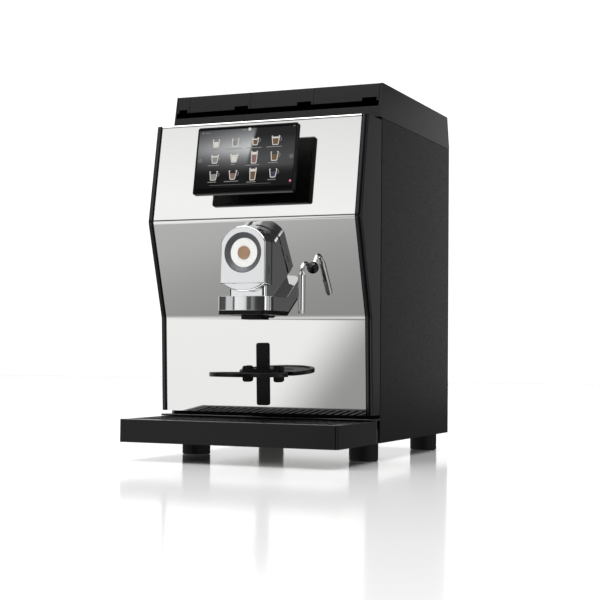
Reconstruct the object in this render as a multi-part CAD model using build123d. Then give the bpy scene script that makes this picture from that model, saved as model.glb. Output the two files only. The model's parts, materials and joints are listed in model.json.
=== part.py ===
"""Hot coffee vending machine for a counter: service door with outlet head, screen, steam wand and
cup tray; drip tray below it; hoppers under hinged lids; grinders, brewer, boilers and pump inside.

Millimetres. X to the right, Y into the machine, Z up. The shapes are drawn with y = 0 at the front
edge of the cabinet sides and z = 0 on the counter; export() moves them so that the row's origin is
the bottom centre of the whole machine."""
import os
from math import atan2, cos, degrees, hypot, pi, radians, sin, tan

from build123d import *

os.makedirs("parts", exist_ok=True)

# ---- overall sizes --------------------------------------------------------------------------
cabinet_width = 420.0
cabinet_depth = 407.4
cabinet_top = 682.7
hood_seam = 618.5          # height of the joint between side panels and hood
underside = 34.0           # clear height under the cabinet, which is the height of the feet
tray_reach = 199.8         # how far the drip tray stands out in front of the cabinet

# ---- clearances and fits --------------------------------------------------------------------
seam_gap = 0.4             # between covers that meet edge to edge
part_gap = 0.5             # between bodies that move past each other
running_fit = 0.05         # radial, shafts and pins in their bores
ball_fit = 0.35            # radial, steam wand ball in its seat

# ---- sheet and moulding thicknesses ---------------------------------------------------------
side_wall = 3.0
base_wall = 3.0
hood_wall = 3.0
hood_post = 5.0            # solid right-hand edge of the hood beside the last lid
moulded_wall = 2.5

# ---- service door, as reach in front of the cabinet and height ------------------------------
door_bottom = 84.7
door_top = 614.2
reach_bottom = 41.5
reach_low_bend = 49.6
low_bend = 257.0
reach_high_bend = 104.3
high_bend = 431.6
reach_top = 72.8
door_gap = 3.0             # between the door's back edge and the cabinet
sheet = 1.5
bend_radius = 5.5
sheet_lip = 4.2            # bright folded edge along the top of the sheet
trim_width = 11.0
trim_depth = 8.0
trim_proud = 1.4
cheek = 12.0               # thickness of the door moulding's side walls
hinge_inset = 6.0          # door hinge axis, in from the door's outer and back faces
hinge_pin_radius = 2.5
sill_bottom = 74.8
sill_top = 78.3

# ---- screen ---------------------------------------------------------------------------------
screen_width = 197.0
screen_height = 125.0
screen_front = 44.0        # from the door's face to the front of the glass
screen_thick = 11.5
glass_thick = 1.8
glass_border = 2.2
screen_centre = 529.0      # height of the middle of the screen
screen_pivot = 19.0        # tilt axis, from the door's face
pivot_pin_radius = 3.0

# ---- outlet head ----------------------------------------------------------------------------
head_half = 43.7
head_ring_height = 370.3   # height of the middle of the round badge and of the arch
head_arch_radius = 47.4
plate_bottom = 315.3
plate_front = 136.0        # reach of the face of the head
plate_thick = 11.4
housing_front = 124.2
groove_front = 111.2
groove_back = 105.3
groove_depth = 1.6
badge_outer = 36.0
badge_inner = 26.0
badge_recess = 5.0
chin_radius = 69.0
collar_half = 53.0
collar_front = 141.5
collar_top = 293.3
collar_bottom = 267.6
collar_corner = 15.0
spout_base_bottom = 260.6
spout_bottom = 253.0
spout_half = 19.5
spout_front = 103.0
nozzle_spacing = 19.0
nozzle_bore = 3.0

# ---- steam wand -----------------------------------------------------------------------------
wand_x = 109.5
wand_height = 345.0
wand_ball_radius = 10.75
wand_tube_radius = 3.9
wand_reach = 122.0
wand_knee_rise = 9.0       # bend of the tube above the ball
wand_bend_radius = 15.0
wand_drop_x = 107.7
wand_tip_height = 262.4
sleeve_radius = 6.35
sleeve_bottom = 268.0

# ---- cup tray and its rail ------------------------------------------------------------------
rail_width = 22.8
rail_bottom = 98.4
rail_top = 211.6
rail_thick = 5.0
cup_radius = 70.0
cup_reach = 106.0          # reach of the middle of the round tray
cup_height = 151.0
cup_thick = 7.5
cup_rim = 9.0
cup_slot = 3.5             # drain slots in the floor of the round tray
cup_spokes = 6
pad_spacing = 62.0
pad_width = 15.5
pad_bottom = 140.5
pad_top = 170.0

# ---- drip tray ------------------------------------------------------------------------------
drip_half = 208.5
drip_top = 74.4
drip_back = 16.0
drip_wall = 3.0
grid_thick = 3.2
tray_rim = 11.0            # width of the tray's rim around the grid
grid_ledge = 6.0           # width of the ledge that the grid rests on
grid_gap = 0.8             # around the grid in its rim
grid_sunk = 1.0            # top of the grid below the tray's rim
grid_slot_columns = 24
sill_proud = 3.5           # sill in front of the door's bottom edge
tongue_x = 150.0
tongue_width = 12.0
tongue_bottom = 48.0
tongue_top = 58.0
tongue_reach = 110.0

# ---- feet -----------------------------------------------------------------------------------
foot_radius = 26.6
foot_inset = 39.8
foot_front = 22.9
foot_rear = 40.8
stud_radius = 4.0

# ---- lids and hoppers -----------------------------------------------------------------------
fascia_bottom = 620.0
fascia_top = 640.0
lid_bottom = 650.0
fascia_lean = 13.0         # how far the fascia comes forward from its top to its bottom
fascia_set_back = 3.0      # top edge of the fascia behind the cabinet's front edge
hood_rear_lean = 14.4
lid_depth = 300.0
lid_barrel = 6.5
lid_rod_radius = 2.0
lid_gap = 0.8
tablet_lid_width = 26.0
finger_notch = 28.0        # wide, in the right end of each lid's front lip
finger_notch_height = 7.0
hopper_rim = 3.0
hopper_front = 14.0
hopper_length = 272.0
hopper_floor = 520.0
neck_radius = 20.0
neck_bottom = 497.0

# ---- grinders -------------------------------------------------------------------------------
grinder_y = 170.0
grinder_radius = 38.0
grinder_top = 500.0
grinder_bottom = 440.0
grinder_wall = 6.0
motor_radius = 31.0
motor_length = 68.0
burr_radius = 28.0
shaft_radius = 4.0

# ---- brewer ---------------------------------------------------------------------------------
brew_y = 66.0
brew_half = 48.0
brew_bottom = 205.0
brew_top = 391.0
shelf_thick = 6.0
chamber_radius = 26.0
chamber_wall = 6.0
chamber_top = 300.0
piston_fit = 0.1
piston_bottom = 330.0
piston_thick = 15.0
piston_arm = 8.0
spindle_radius = 4.0
spindle_set_back = 8.0     # from the outside of the brewing chamber to the spindle's axis

# ---- boilers, pump, electrics ---------------------------------------------------------------
steam_boiler_radius = 52.0
steam_boiler_height = 190.0
coffee_boiler_radius = 42.0
coffee_boiler_height = 170.0
boiler_y = 298.0
boiler_floor = 62.0
pump_motor_radius = 36.0
pump_motor_length = 95.0
pump_head_radius = 26.0
pump_head_length = 42.0
board_thick = 1.6
board_stand_off = 8.0
fan_size = 92.0
fan_thick = 25.0
fan_bore = 43.0
rotor_clearance = 2.0
auger_radius = 17.0
trough_wall = 2.5
connection_depth = 38.0
rear_recess = 2.6
screw_radius = 1.8
water_thread_radius = 13.2
rocker_length = 21.0

half = cabinet_width / 2
inner_half = half - side_wall - seam_gap
rear_face = cabinet_depth - rear_recess
hood_height = cabinet_top - hood_seam
lid_axis_height = cabinet_top - lid_barrel
tablet_lid_left = -half + side_wall + seam_gap
bean_lid_left = tablet_lid_left + tablet_lid_width
hopper_lid_width = (half - hood_post - seam_gap - bean_lid_left) / 3
bean_left_x = bean_lid_left + hopper_lid_width / 2
bean_right_x = bean_left_x + hopper_lid_width
powder_x = bean_right_x + hopper_lid_width
hinge_x = -half + hinge_inset
hinge_y = -door_gap - hinge_inset
spindle_y = brew_y + chamber_radius + chamber_wall + spindle_set_back
wand_ball_y = -reach_low_bend - (reach_high_bend - reach_low_bend) * (wand_height - low_bend) / (
    high_bend - low_bend)
wand_turn = pi / 2 + atan2(wand_knee_rise, wand_reach + wand_ball_y)
sleeve_top = wand_height + wand_knee_rise - wand_bend_radius * tan(wand_turn / 2)
upper_lean = degrees(atan2(reach_high_bend - reach_top, door_top - high_bend))


# ---- drawing helpers ------------------------------------------------------------------------
def block(x, y, z):
    """A box between pairs of coordinates."""
    box = Box(x[1] - x[0], y[1] - y[0], z[1] - z[0], align=(Align.MIN, Align.MIN, Align.MIN))
    return Pos(x[0], y[0], z[0]) * box


def rod(radius, start, end):
    """A cylinder between two points."""
    start = Vector(start)
    path = Vector(end) - start
    place = Plane(origin=start, z_dir=path)
    return extrude(place * Circle(radius), path.length)


def prism(points, x):
    """A (y, z) outline extruded between two x coordinates."""
    face = make_face(Plane.YZ * Polyline(*points, close=True))
    return Pos(x[0], 0, 0) * extrude(face, x[1] - x[0], dir=(1, 0, 0))


def column(outline, z):
    """A plan outline extruded between two heights."""
    return Pos(0, 0, z[0]) * extrude(outline, z[1] - z[0], dir=(0, 0, 1))


def funnel(top, top_size, bottom, bottom_size):
    """A rectangle at one place lofted to another below it."""
    upper = Pos(*top) * Rectangle(*top_size)
    lower = Pos(*bottom) * Rectangle(*bottom_size)
    return loft([lower, upper])


def near(shape, y, z, reach):
    """Edges that run along X and lie near one (y, z) place."""
    found = [e for e in shape.edges().filter_by(Axis.X)
             if hypot(e.center().Y - y, e.center().Z - z) < reach]
    return found


def front_line(inset, low=door_bottom, high=door_top):
    """The door's face as four (y, z) points, moved into the machine by inset."""
    outer = [(-reach_bottom, door_bottom), (-reach_low_bend, low_bend),
             (-reach_high_bend, high_bend), (-reach_top, door_top)]
    lines = []
    for (y0, z0), (y1, z1) in zip(outer, outer[1:]):
        length = hypot(y1 - y0, z1 - z0)
        normal_y = (z1 - z0) / length
        normal_z = -(y1 - y0) / length
        lines.append((y0 + inset * normal_y, z0 + inset * normal_z, (y1 - y0) / (z1 - z0)))
    points = [(lines[0][0] + lines[0][2] * (low - lines[0][1]), low)]
    for (ya, za, slope_a), (yb, zb, slope_b) in zip(lines, lines[1:]):
        z = (ya - yb - slope_a * za + slope_b * zb) / (slope_b - slope_a)
        points.append((ya + slope_a * (z - za), z))
    points.append((lines[2][0] + lines[2][2] * (high - lines[2][1]), high))
    return points


def face_y(z, inset=0.0):
    """Where the door's face is at one height."""
    points = front_line(inset)
    for (y0, z0), (y1, z1) in zip(points, points[1:]):
        if z <= z1 or (y1, z1) == points[-1]:
            return y0 + (y1 - y0) * (z - z0) / (z1 - z0)


def behind_face(x, inset, z=(0.0, cabinet_top)):
    """Everything behind the door's face, to cut off what runs back through it."""
    points = front_line(inset, low=z[0], high=z[1])
    return prism(points + [(cabinet_depth, z[1]), (cabinet_depth, z[0])], x)


def screen_plane(offset):
    """A plane parallel to the door's upper face, offset out from it, centred on the screen."""
    lean = radians(upper_lean)
    origin = (0, face_y(screen_centre) - offset * cos(lean), screen_centre + offset * sin(lean))
    return Plane(origin=origin, x_dir=(1, 0, 0), z_dir=(0, -cos(lean), sin(lean)))


def fascia_y(z):
    """Where the leaning front of the hood and lids is at one height."""
    return fascia_set_back - fascia_lean * (cabinet_top - z) / (cabinet_top - fascia_bottom)


def hood_rear_y(z):
    return cabinet_depth - hood_rear_lean * (z - hood_seam) / hood_height


# ---- cabinet --------------------------------------------------------------------------------
def base_frame():
    """Pressed steel base pan with a slotted front wall, rails for the grounds bin and foot holes."""
    rim = 24.0
    low = underside
    floor = low + base_wall
    front_y = -drip_back + 6
    back_y = rear_face - side_wall - seam_gap
    pan = block((-inner_half, inner_half), (front_y, back_y), (low, low + rim))
    pan -= block((-inner_half + base_wall, inner_half - base_wall),
                 (front_y + base_wall, back_y - base_wall), (floor, low + rim + 1))
    front = block((-inner_half, inner_half), (front_y, front_y + base_wall),
                  (low, sill_bottom - seam_gap))
    pan += front
    slot = tongue_width + 2 * part_gap
    for side in (-1, 1):
        x = side * tongue_x
        pan -= block((x - slot / 2, x + slot / 2), (-drip_back, foot_front),
                     (tongue_bottom - part_gap, tongue_top + part_gap))
    for rail in (bin_left() + 6, bin_right() - 6):
        pan += block((rail - 2, rail + 2), (hopper_front, hopper_front + 166), (floor, bin_bottom()))
    for x, y in foot_places():
        pan -= rod(stud_radius + 0.2, (x, y, low - 1), (x, y, floor + 1))
    for x, z in screw_places():
        pan -= rod(screw_radius + 0.1, (x, back_y - base_wall - 1, z), (x, rear_face, z))
    return pan


def bin_left():
    return -inner_half + 12.0


def bin_right():
    return -brew_half - 7.0


def bin_bottom():
    return tongue_top + 8.0


def foot_places():
    x = half - foot_inset
    return [(-x, foot_front), (x, foot_front), (-x, cabinet_depth - foot_rear),
            (x, cabinet_depth - foot_rear)]


def feet():
    """Four levelling feet, each a ribbed rubber-faced disc with its threaded stud moulded in."""
    group = []
    for x, y in foot_places():
        foot = rod(foot_radius, (x, y, 0), (x, y, underside - 0.1))
        foot = fillet(foot.edges().group_by(Axis.Z)[0], 3.0)
        foot = chamfer(foot.edges().group_by(Axis.Z)[-1], 1.2)
        foot -= Pos(x, y, 9) * (Cylinder(foot_radius + 1, 1.2) - Cylinder(foot_radius - 0.8, 3))
        foot += rod(stud_radius, (x, y, underside - 2), (x, y, underside + 12))
        group.append(foot)
    return Compound(children=group)


def side_panel(side):
    """Flat coated steel side of the cabinet, with softened vertical edges and two hidden ribs."""
    panel = block((half - side_wall, half), (0, cabinet_depth), (underside, hood_seam - seam_gap))
    outer = [e for e in panel.edges().filter_by(Axis.Z) if e.center().X > half - 0.1]
    panel = fillet(outer, side_wall * 0.6)
    for y in (cabinet_depth * 0.32, cabinet_depth * 0.66):
        panel += block((half - side_wall - 2, half - side_wall), (y, y + 16),
                       (underside + 40, hood_seam - 60))
    return panel if side > 0 else panel.mirror(Plane.YZ)


def fan_place():
    """Middle of the fan: behind the left grinder, high on the rear panel."""
    return (bean_left_x, rear_face - side_wall, neck_bottom)


def connection_box():
    """x, z limits of the recess for the water and mains connections."""
    return (-70.0, 90.0), (underside + 26, underside + 26 + 88)


def rear_panel():
    """Coated steel back, with a slotted grille for the fan, air slots and the connection recess."""
    y = (rear_face - side_wall, rear_face)
    panel = block((-inner_half, inner_half), y, (underside, hood_seam - seam_gap))
    x_range, z_range = connection_box()
    panel -= block(x_range, (y[0] - 1, y[1] + 1), z_range)
    fan_x, _, fan_z = fan_place()
    for row in range(9):
        z = fan_z + (row - 4) * 9.0
        reach = (fan_bore ** 2 - (z - fan_z) ** 2) ** 0.5
        panel -= block((fan_x - reach, fan_x + reach), (y[0] - 1, y[1] + 1), (z - 2.2, z + 2.2))
    for row in range(7):
        z = low_bend + row * 11.0
        for x in (-inner_half / 2, inner_half / 2):
            panel -= block((x - 45, x + 45), (y[0] - 1, y[1] + 1), (z - 2.2, z + 2.2))
    for x, z in screw_places():
        panel -= rod(screw_radius, (x, y[0] - 1, z), (x, y[1] + 1, z))
    return panel


def screw_places():
    x = inner_half - 9
    rows = (underside + 14, (underside + hood_seam) / 2, hood_seam - 16)
    return [(side * x, z) for side in (-1, 1) for z in rows]


def rear_screws():
    """Pan-head screws that hold the rear panel."""
    group = []
    for x, z in screw_places():
        head = rod(3.6, (x, rear_face, z), (x, rear_face + 2.2, z))
        head = fillet(head.edges().group_by(Axis.Y)[-1], 1.2)
        head -= block((x - 2.4, x + 2.4), (rear_face + 1.2, rear_face + 3), (z - 0.5, z + 0.5))
        group.append(head + rod(screw_radius, (x, rear_face - 9, z), (x, rear_face, z)))
    return Compound(children=group)


def connection_tray():
    """Recessed pocket in the back with cut-outs for mains inlet, switch and water connections."""
    x, z = connection_box()
    x = (x[0] + seam_gap, x[1] - seam_gap)
    z = (z[0] + seam_gap, z[1] - seam_gap)
    y = (rear_face - connection_depth, rear_face)
    tray = block(x, y, z)
    tray -= block((x[0] + 2, x[1] - 2), (y[0] + 2, y[1] + 1), (z[0] + 2, z[1] - 2))
    for place, size in ((inlet_place(), (27.2, 19.8)), (rocker_place(), (rocker_length + 5, 14.6))):
        tray -= block((place[0] - size[0] / 2, place[0] + size[0] / 2), (y[0] - 1, y[0] + 3),
                      (place[1] - size[1] / 2, place[1] + size[1] / 2))
    wx, wz = water_place()
    tray -= rod(water_thread_radius - 3, (wx, y[0] - 1, wz), (wx, y[0] + 3, wz))
    return tray


def inlet_place():
    x, z = connection_box()
    return x[0] + 34, (z[0] + z[1]) / 2 + 14


def rocker_place():
    x, z = connection_box()
    return x[0] + 34, (z[0] + z[1]) / 2 - 22


def water_place():
    x, z = connection_box()
    return x[1] - 34, (z[0] + z[1]) / 2


def power_inlet():
    """Three-pin mains inlet with a flange, snapped into the connection recess."""
    x, z = inlet_place()
    y = rear_face - connection_depth + 2
    body = block((x - 13.5, x + 13.5), (y - 16, y), (z - 9.8, z + 9.8))
    body += block((x - 17, x + 17), (y, y + 2.5), (z - 13, z + 13))
    body -= block((x - 12, x + 12), (y - 13, y + 3), (z - 8, z + 8))
    for pin_x, pin_z in ((-7, 1.5), (0, -2.5), (7, 1.5)):
        body += block((x + pin_x - 1, x + pin_x + 1), (y - 13.5, y - 1), (z + pin_z - 2, z + pin_z + 2))
    return body


def power_rocker():
    """Rocker of the mains switch, on a short cross pin."""
    x, z = rocker_place()
    y = rear_face - connection_depth
    arm = rocker_length / 2
    outline = [(x - arm, y + 3.2), (x, y + 1.8), (x + arm, y + 3.2), (x + arm, y + 1.4), (x, y - 5),
               (x - arm, y + 1.4)]
    face = make_face(Polyline(*outline, close=True))
    return Pos(0, 0, z - 6) * extrude(face, 12, dir=(0, 0, 1))


def water_inlet():
    """Brass water connection with a parallel thread, facing back out of the recess."""
    x, z = water_place()
    y = rear_face - connection_depth
    stub = rod(water_thread_radius, (x, y + 2, z), (x, rear_face - 10, z))
    stub += rod(water_thread_radius - 3, (x, y - 10, z), (x, y + 2, z))
    stub += extrude(Plane.XZ.offset(-(y + 6)) * (Pos(x, z) * RegularPolygon(17, 6)), 4)
    stub -= rod(6.0, (x, y - 11, z), (x, rear_face, z))
    return stub


def front_frame():
    """Painted bulkhead behind the door: a rectangular frame that the brewer is reached through."""
    y = (0.0, base_wall)
    frame = block((-inner_half, inner_half), y, (sill_bottom, hood_seam - seam_gap))
    frame -= block((-inner_half + 16, inner_half - 16), (-1, base_wall + 1),
                   (sill_bottom + 24, hood_seam - 30))
    low = door_top + part_gap
    ear = block((-inner_half, -inner_half + 11), (hinge_y - 4.5, 0.5), (low, low + 3))
    ear -= rod(hinge_pin_radius, (hinge_x, hinge_y, low - 1), (hinge_x, hinge_y, low + 4))
    frame += ear
    return frame


def sill():
    """Steel strip under the door, which the door closes down to and the drip tray slides under."""
    strip = block((-half, half), (-reach_bottom - sill_proud, -part_gap), (sill_bottom, sill_top))
    strip = fillet(strip.edges().filter_by(Axis.X).group_by(Axis.Y)[0], 1.2)
    return strip - rod(hinge_pin_radius, (hinge_x, hinge_y, 0), (hinge_x, hinge_y, sill_top + 1))


def door_hinge_pins():
    """Upper and lower pins that the service door turns on."""
    lower = rod(hinge_pin_radius, (hinge_x, hinge_y, sill_bottom + 0.4),
                (hinge_x, hinge_y, door_bottom + 16))
    upper = rod(hinge_pin_radius, (hinge_x, hinge_y, door_top - 16),
                (hinge_x, hinge_y, door_top + part_gap + 3))
    return Compound(children=[lower, upper])


def grounds_container():
    """Open bin for the spent coffee, with a finger lip, on two rails behind the door."""
    x = (bin_left(), bin_right())
    y = (hopper_front, hopper_front + 166)
    z = (bin_bottom(), brew_bottom - 8)
    tub = block(x, y, z)
    tub = fillet(tub.edges().filter_by(Axis.Z), 10)
    hollow = block((x[0] + moulded_wall, x[1] - moulded_wall),
                   (y[0] + moulded_wall, y[1] - moulded_wall), (z[0] + moulded_wall, z[1] + 1))
    tub -= fillet(hollow.edges().filter_by(Axis.Z), 10 - moulded_wall)
    middle = (x[0] + x[1]) / 2
    return tub + block((middle - 30, middle + 30), (y[0] - 9, y[0] + 1), (z[1] - 26, z[1] - 22))


# ---- hood, lids and hoppers -----------------------------------------------------------------
def hopper_plan(x):
    """x limits, y limits of a hopper's rim."""
    reach = hopper_lid_width / 2 - 5
    return (x - reach, x + reach), (hopper_front, hopper_front + hopper_length)


def hood():
    """Moulded hood: sides, leaning back, fascia strip and a deck that the hoppers hang in."""
    z = (hood_seam + seam_gap, cabinet_top)
    side = [(fascia_y(z[0]), z[0]), (hood_rear_y(z[0]), z[0]), (hood_rear_y(z[1]), z[1]),
            (fascia_y(z[1]), z[1])]
    shell = prism(side, (-half, -half + side_wall))
    shell += prism(side, (half - hood_post, half))
    fascia = [(fascia_y(fascia_bottom), fascia_bottom), (fascia_y(fascia_top), fascia_top),
              (fascia_y(fascia_top) + hood_wall, fascia_top),
              (fascia_y(fascia_bottom) + hood_wall, fascia_bottom)]
    across = (-half + side_wall - 1, half - hood_post + 1)
    shell += prism(fascia, across)
    rear = [(hood_rear_y(z[0]), z[0]), (hood_rear_y(z[1]), z[1]),
            (hood_rear_y(z[1]) - hood_wall, z[1]), (hood_rear_y(z[0]) - hood_wall, z[0])]
    shell += prism(rear, across)
    deck = (fascia_top - hood_wall, fascia_top)
    shell += block(across, (fascia_y(fascia_top) + 1, hood_rear_y(fascia_top) - 1), deck)
    step = lid_depth + lid_barrel + 0.6
    shell += block(across, (step, hood_rear_y(z[1]) - 1), (z[1] - hood_wall, z[1]))
    shell += block(across, (step, step + hood_wall), (deck[1] - 1, z[1]))
    for x in (bean_left_x, bean_right_x, powder_x):
        (x0, x1), (y0, y1) = hopper_plan(x)
        shell -= block((x0 + 3, x1 - 3), (y0 + 3, y1 - 3), (deck[0] - 1, deck[1] + 1))
    tablet = tablet_plan()
    shell -= block(tablet[0], tablet[1], (deck[0] - 1, deck[1] + 1))
    axis = (lid_depth, lid_axis_height)
    shell -= rod(lid_rod_radius, (-half + 1, *axis), (half - 1.5, *axis))
    return shell


def tablet_plan():
    """Slot in the deck under the small lid, for cleaning tablets and ground coffee."""
    return (tablet_lid_left + 4, tablet_lid_left + tablet_lid_width - 5), (40.0, 110.0)


def lid_hinge_rod():
    """One long rod that carries all four lids."""
    axis = (lid_depth, lid_axis_height)
    return rod(lid_rod_radius, (-half + 1.2, *axis), (half - 1.7, *axis))


def lid(left, width):
    """Moulded lid with a leaning front lip, side lips and a rolled hinge barrel at the back."""
    x = (left + lid_gap / 2, left + width - lid_gap / 2)
    top = cabinet_top
    lip = [(fascia_y(lid_bottom), lid_bottom), (fascia_y(top), top), (lid_depth, top),
           (lid_depth, top - hood_wall), (fascia_y(top) + hood_wall, top - hood_wall),
           (fascia_y(lid_bottom) + hood_wall, lid_bottom)]
    cover = prism(lip, x)
    edges = near(cover, fascia_y(top), top, 0.5)
    cover = fillet(edges, 1.6)
    edges = near(cover, fascia_y(lid_bottom), lid_bottom, 0.5)
    cover = fillet(edges, 0.8)
    wall = [(fascia_y(lid_bottom) + 1, lid_bottom + 4), (fascia_y(top) + 1, top - 1),
            (lid_depth - lid_barrel, top - 1), (lid_depth - lid_barrel, lid_bottom + 22)]
    for x0 in (x[0], x[1] - 2):
        cover += prism(wall, (x0, x0 + 2))
    notch = block((max(x[0] + 4, x[1] - finger_notch - 4), x[1] - 4), (fascia_y(lid_bottom) - 5, hood_wall + 8),
                  (lid_bottom - 1, lid_bottom + finger_notch_height))
    cover -= notch
    axis = (lid_depth, lid_axis_height)
    cover += rod(lid_barrel, (x[0], *axis), (x[1], *axis))
    bore = lid_rod_radius + running_fit
    return cover - rod(bore, (x[0] - 1, *axis), (x[1] + 1, *axis))


def hopper_shell(x, throat, inset):
    """Solid hopper shape, shrunk by inset, from its mouth to its floor."""
    (x0, x1), (y0, y1) = hopper_plan(x)
    grow = 4.0 + inset
    size = (x1 - x0 - 2 * grow, y1 - y0 - 2 * grow)
    middle = ((x0 + x1) / 2, (y0 + y1) / 2)
    floor = (throat[0] - 2 * inset, throat[1] - 2 * inset)
    return funnel((*middle, fascia_top), size, (x, throat[2], hopper_floor + inset), floor)


def bean_hopper(x):
    """Clear moulded bean hopper, hung by its rim in the deck, with a round neck into the grinder."""
    throat = (2 * neck_radius + 8, 2 * neck_radius + 8, grinder_y)
    (x0, x1), (y0, y1) = hopper_plan(x)
    mouth = (hopper_plan(x)[0][0] + 4, hopper_plan(x)[0][1] - 4)
    body = hopper_shell(x, throat, 0)
    body += block((x0, x1), (y0, y1), (fascia_top, fascia_top + hopper_rim))
    body += rod(neck_radius, (x, grinder_y, neck_bottom), (x, grinder_y, hopper_floor + 1))
    body -= hopper_shell(x, throat, moulded_wall)
    body -= block((mouth[0] + moulded_wall, mouth[1] - moulded_wall),
                  (y0 + 4 + moulded_wall, y1 - 4 - moulded_wall), (fascia_top - 0.5, fascia_top + 9))
    bore = neck_radius - moulded_wall
    body -= rod(bore, (x, grinder_y, neck_bottom - 1), (x, grinder_y, hopper_floor + 6))
    return body


def powder_canister():
    """Canister for instant powder, with a trough along its floor for the feed screw."""
    x = powder_x
    (x0, x1), (y0, y1) = hopper_plan(x)
    trough = auger_radius + 1.5 + trough_wall
    middle = (y0 + y1) / 2
    length = y1 - y0 - 30
    throat = (2 * trough, length, middle)
    body = hopper_shell(x, throat, 0)
    body += block((x0, x1), (y0, y1), (fascia_top, fascia_top + hopper_rim))
    low = hopper_floor - 6
    body += rod(trough, (x, y0 + 15, low), (x, y1 - 15, low))
    body -= hopper_shell(x, throat, trough_wall)
    body -= block((x0 + 4 + trough_wall, x1 - 4 - trough_wall),
                  (y0 + 4 + trough_wall, y1 - 4 - trough_wall), (fascia_top - 0.5, fascia_top + 9))
    body -= rod(trough - trough_wall, (x, y0 + 15 + trough_wall, low), (x, y1 - 15 - trough_wall, low))
    body -= block((x - trough + trough_wall, x + trough - trough_wall),
                  (y0 + 15 + trough_wall, y1 - 15 - trough_wall), (low, hopper_floor + 8))
    body -= rod(10.0, (x, y0 + 32, low - trough - 1), (x, y0 + 32, low))
    return body - rod(shaft_radius + running_fit, (x, y1 - 20, low), (x, y1, low))


def powder_auger():
    """Feed screw of the powder canister: a shaft with round flights."""
    (_, _), (y0, y1) = hopper_plan(powder_x)
    low = hopper_floor - 6
    screw = rod(shaft_radius, (powder_x, y0 + 20, low), (powder_x, y1 - 6, low))
    pitch = 15.0
    count = int((y1 - y0 - 60) / pitch)
    for turn in range(count):
        y = y0 + 24 + turn * pitch
        screw += rod(auger_radius, (powder_x, y, low), (powder_x, y + 2, low))
    return screw


def mixing_bowl():
    """Cone that catches the powder and hot water, with a spigot down to the outlet hose."""
    (_, _), (y0, _) = hopper_plan(powder_x)
    y = y0 + 32
    top = hopper_floor - 32
    bowl = Pos(powder_x, y, top - 25) * Cone(12, 26, 50)
    bowl += rod(9, (powder_x, y, top - 74), (powder_x, y, top - 47))
    bowl -= Pos(powder_x, y, top - 22) * Cone(9.5, 25, 48)
    bowl -= rod(6.5, (powder_x, y, top - 75), (powder_x, y, top - 40))
    return bowl


# ---- grinders -------------------------------------------------------------------------------
def grinder(x):
    """Grinder: cast burr chamber with a spout, on top of its motor."""
    y = grinder_y
    chamber = rod(grinder_radius, (x, y, grinder_bottom), (x, y, grinder_top))
    chamber = fillet(chamber.edges().group_by(Axis.Z)[-1], 5)
    chamber += block((x - 13, x + 13), (y - grinder_radius - 14, y - grinder_radius + 8),
                     (grinder_bottom + 10, grinder_bottom + 26))
    chamber += rod(motor_radius, (x, y, grinder_bottom - motor_length), (x, y, grinder_bottom))
    room = grinder_radius - grinder_wall
    chamber -= rod(room, (x, y, grinder_bottom + grinder_wall), (x, y, grinder_top - grinder_wall))
    chamber -= block((x - 10, x + 10), (y - grinder_radius - 15, y - room + 4),
                     (grinder_bottom + 13, grinder_bottom + 23))
    chamber -= rod(neck_radius + 0.3, (x, y, grinder_top - grinder_wall - 1), (x, y, grinder_top + 1))
    chamber -= rod(shaft_radius + running_fit, (x, y, grinder_bottom - 14), (x, y, grinder_bottom + 8))
    return chamber


def burr(x):
    """Spinning burr: a toothed disc and cone on the motor shaft."""
    y = grinder_y
    low = grinder_bottom + grinder_wall + 4
    disc = rod(burr_radius, (x, y, low), (x, y, low + 14))
    disc += Pos(x, y, low + 14 + 8) * Cone(15, 6, 16)
    for tooth in range(12):
        turn = Rot(0, 0, tooth * 30)
        groove = turn * Pos(burr_radius, 0, low + 14) * Box(16, 3, 5)
        disc -= Pos(x, y, 0) * groove
    return disc + rod(shaft_radius, (x, y, grinder_bottom - 12), (x, y, low + 1))


# ---- brewer ---------------------------------------------------------------------------------
def brew_frame():
    """Steel frame of the brewer: back plate, two shelves, legs on the base pan, spindle motor."""
    back = spindle_y + 8
    frame = block((-brew_half, brew_half), (back, back + shelf_thick), (brew_bottom, brew_top))
    lower = (brew_bottom, brew_bottom + shelf_thick)
    upper = (brew_top - shelf_thick, brew_top)
    for z in (lower, upper):
        frame += block((-brew_half, brew_half), (brew_y - chamber_radius - 10, back + 1), z)
    frame -= block((-18, 18), (brew_y - 18, brew_y + 18), (upper[0] - 1, upper[1] + 1))
    for x in (-brew_half, brew_half - 8):
        frame += block((x, x + 8), (back - 12, back + shelf_thick), (underside + base_wall, brew_bottom + 1))
    frame += rod(20, (0, spindle_y, brew_bottom - 52), (0, spindle_y, brew_bottom))
    bore = spindle_radius + running_fit
    frame -= rod(bore, (0, spindle_y, brew_bottom - 16), (0, spindle_y, brew_top + 1))
    return frame


def brew_cylinder():
    """Brewing chamber: an upright cup with a filter floor."""
    z = brew_bottom + shelf_thick
    cup = rod(chamber_radius + chamber_wall, (0, brew_y, z), (0, brew_y, chamber_top))
    cup = chamfer(cup.edges().group_by(Axis.Z)[-1], 1.5)
    cup -= rod(chamber_radius, (0, brew_y, z + 8), (0, brew_y, chamber_top + 1))
    cup += rod(5, (0, brew_y, z + 7), (0, brew_y, z + 12))
    return cup


def brew_piston():
    """Pressing piston with its arm and spindle nut."""
    low = piston_bottom
    radius = chamber_radius - piston_fit
    head = rod(radius, (0, brew_y, low), (0, brew_y, low + piston_thick))
    head = chamfer(head.edges().group_by(Axis.Z)[0], 1.0)
    top = low + piston_thick
    head += block((-13, 13), (brew_y, spindle_y + 7), (top - 1, top + piston_arm))
    bore = spindle_radius + running_fit
    return head - rod(bore, (0, spindle_y, low), (0, spindle_y, top + 20))


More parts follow.
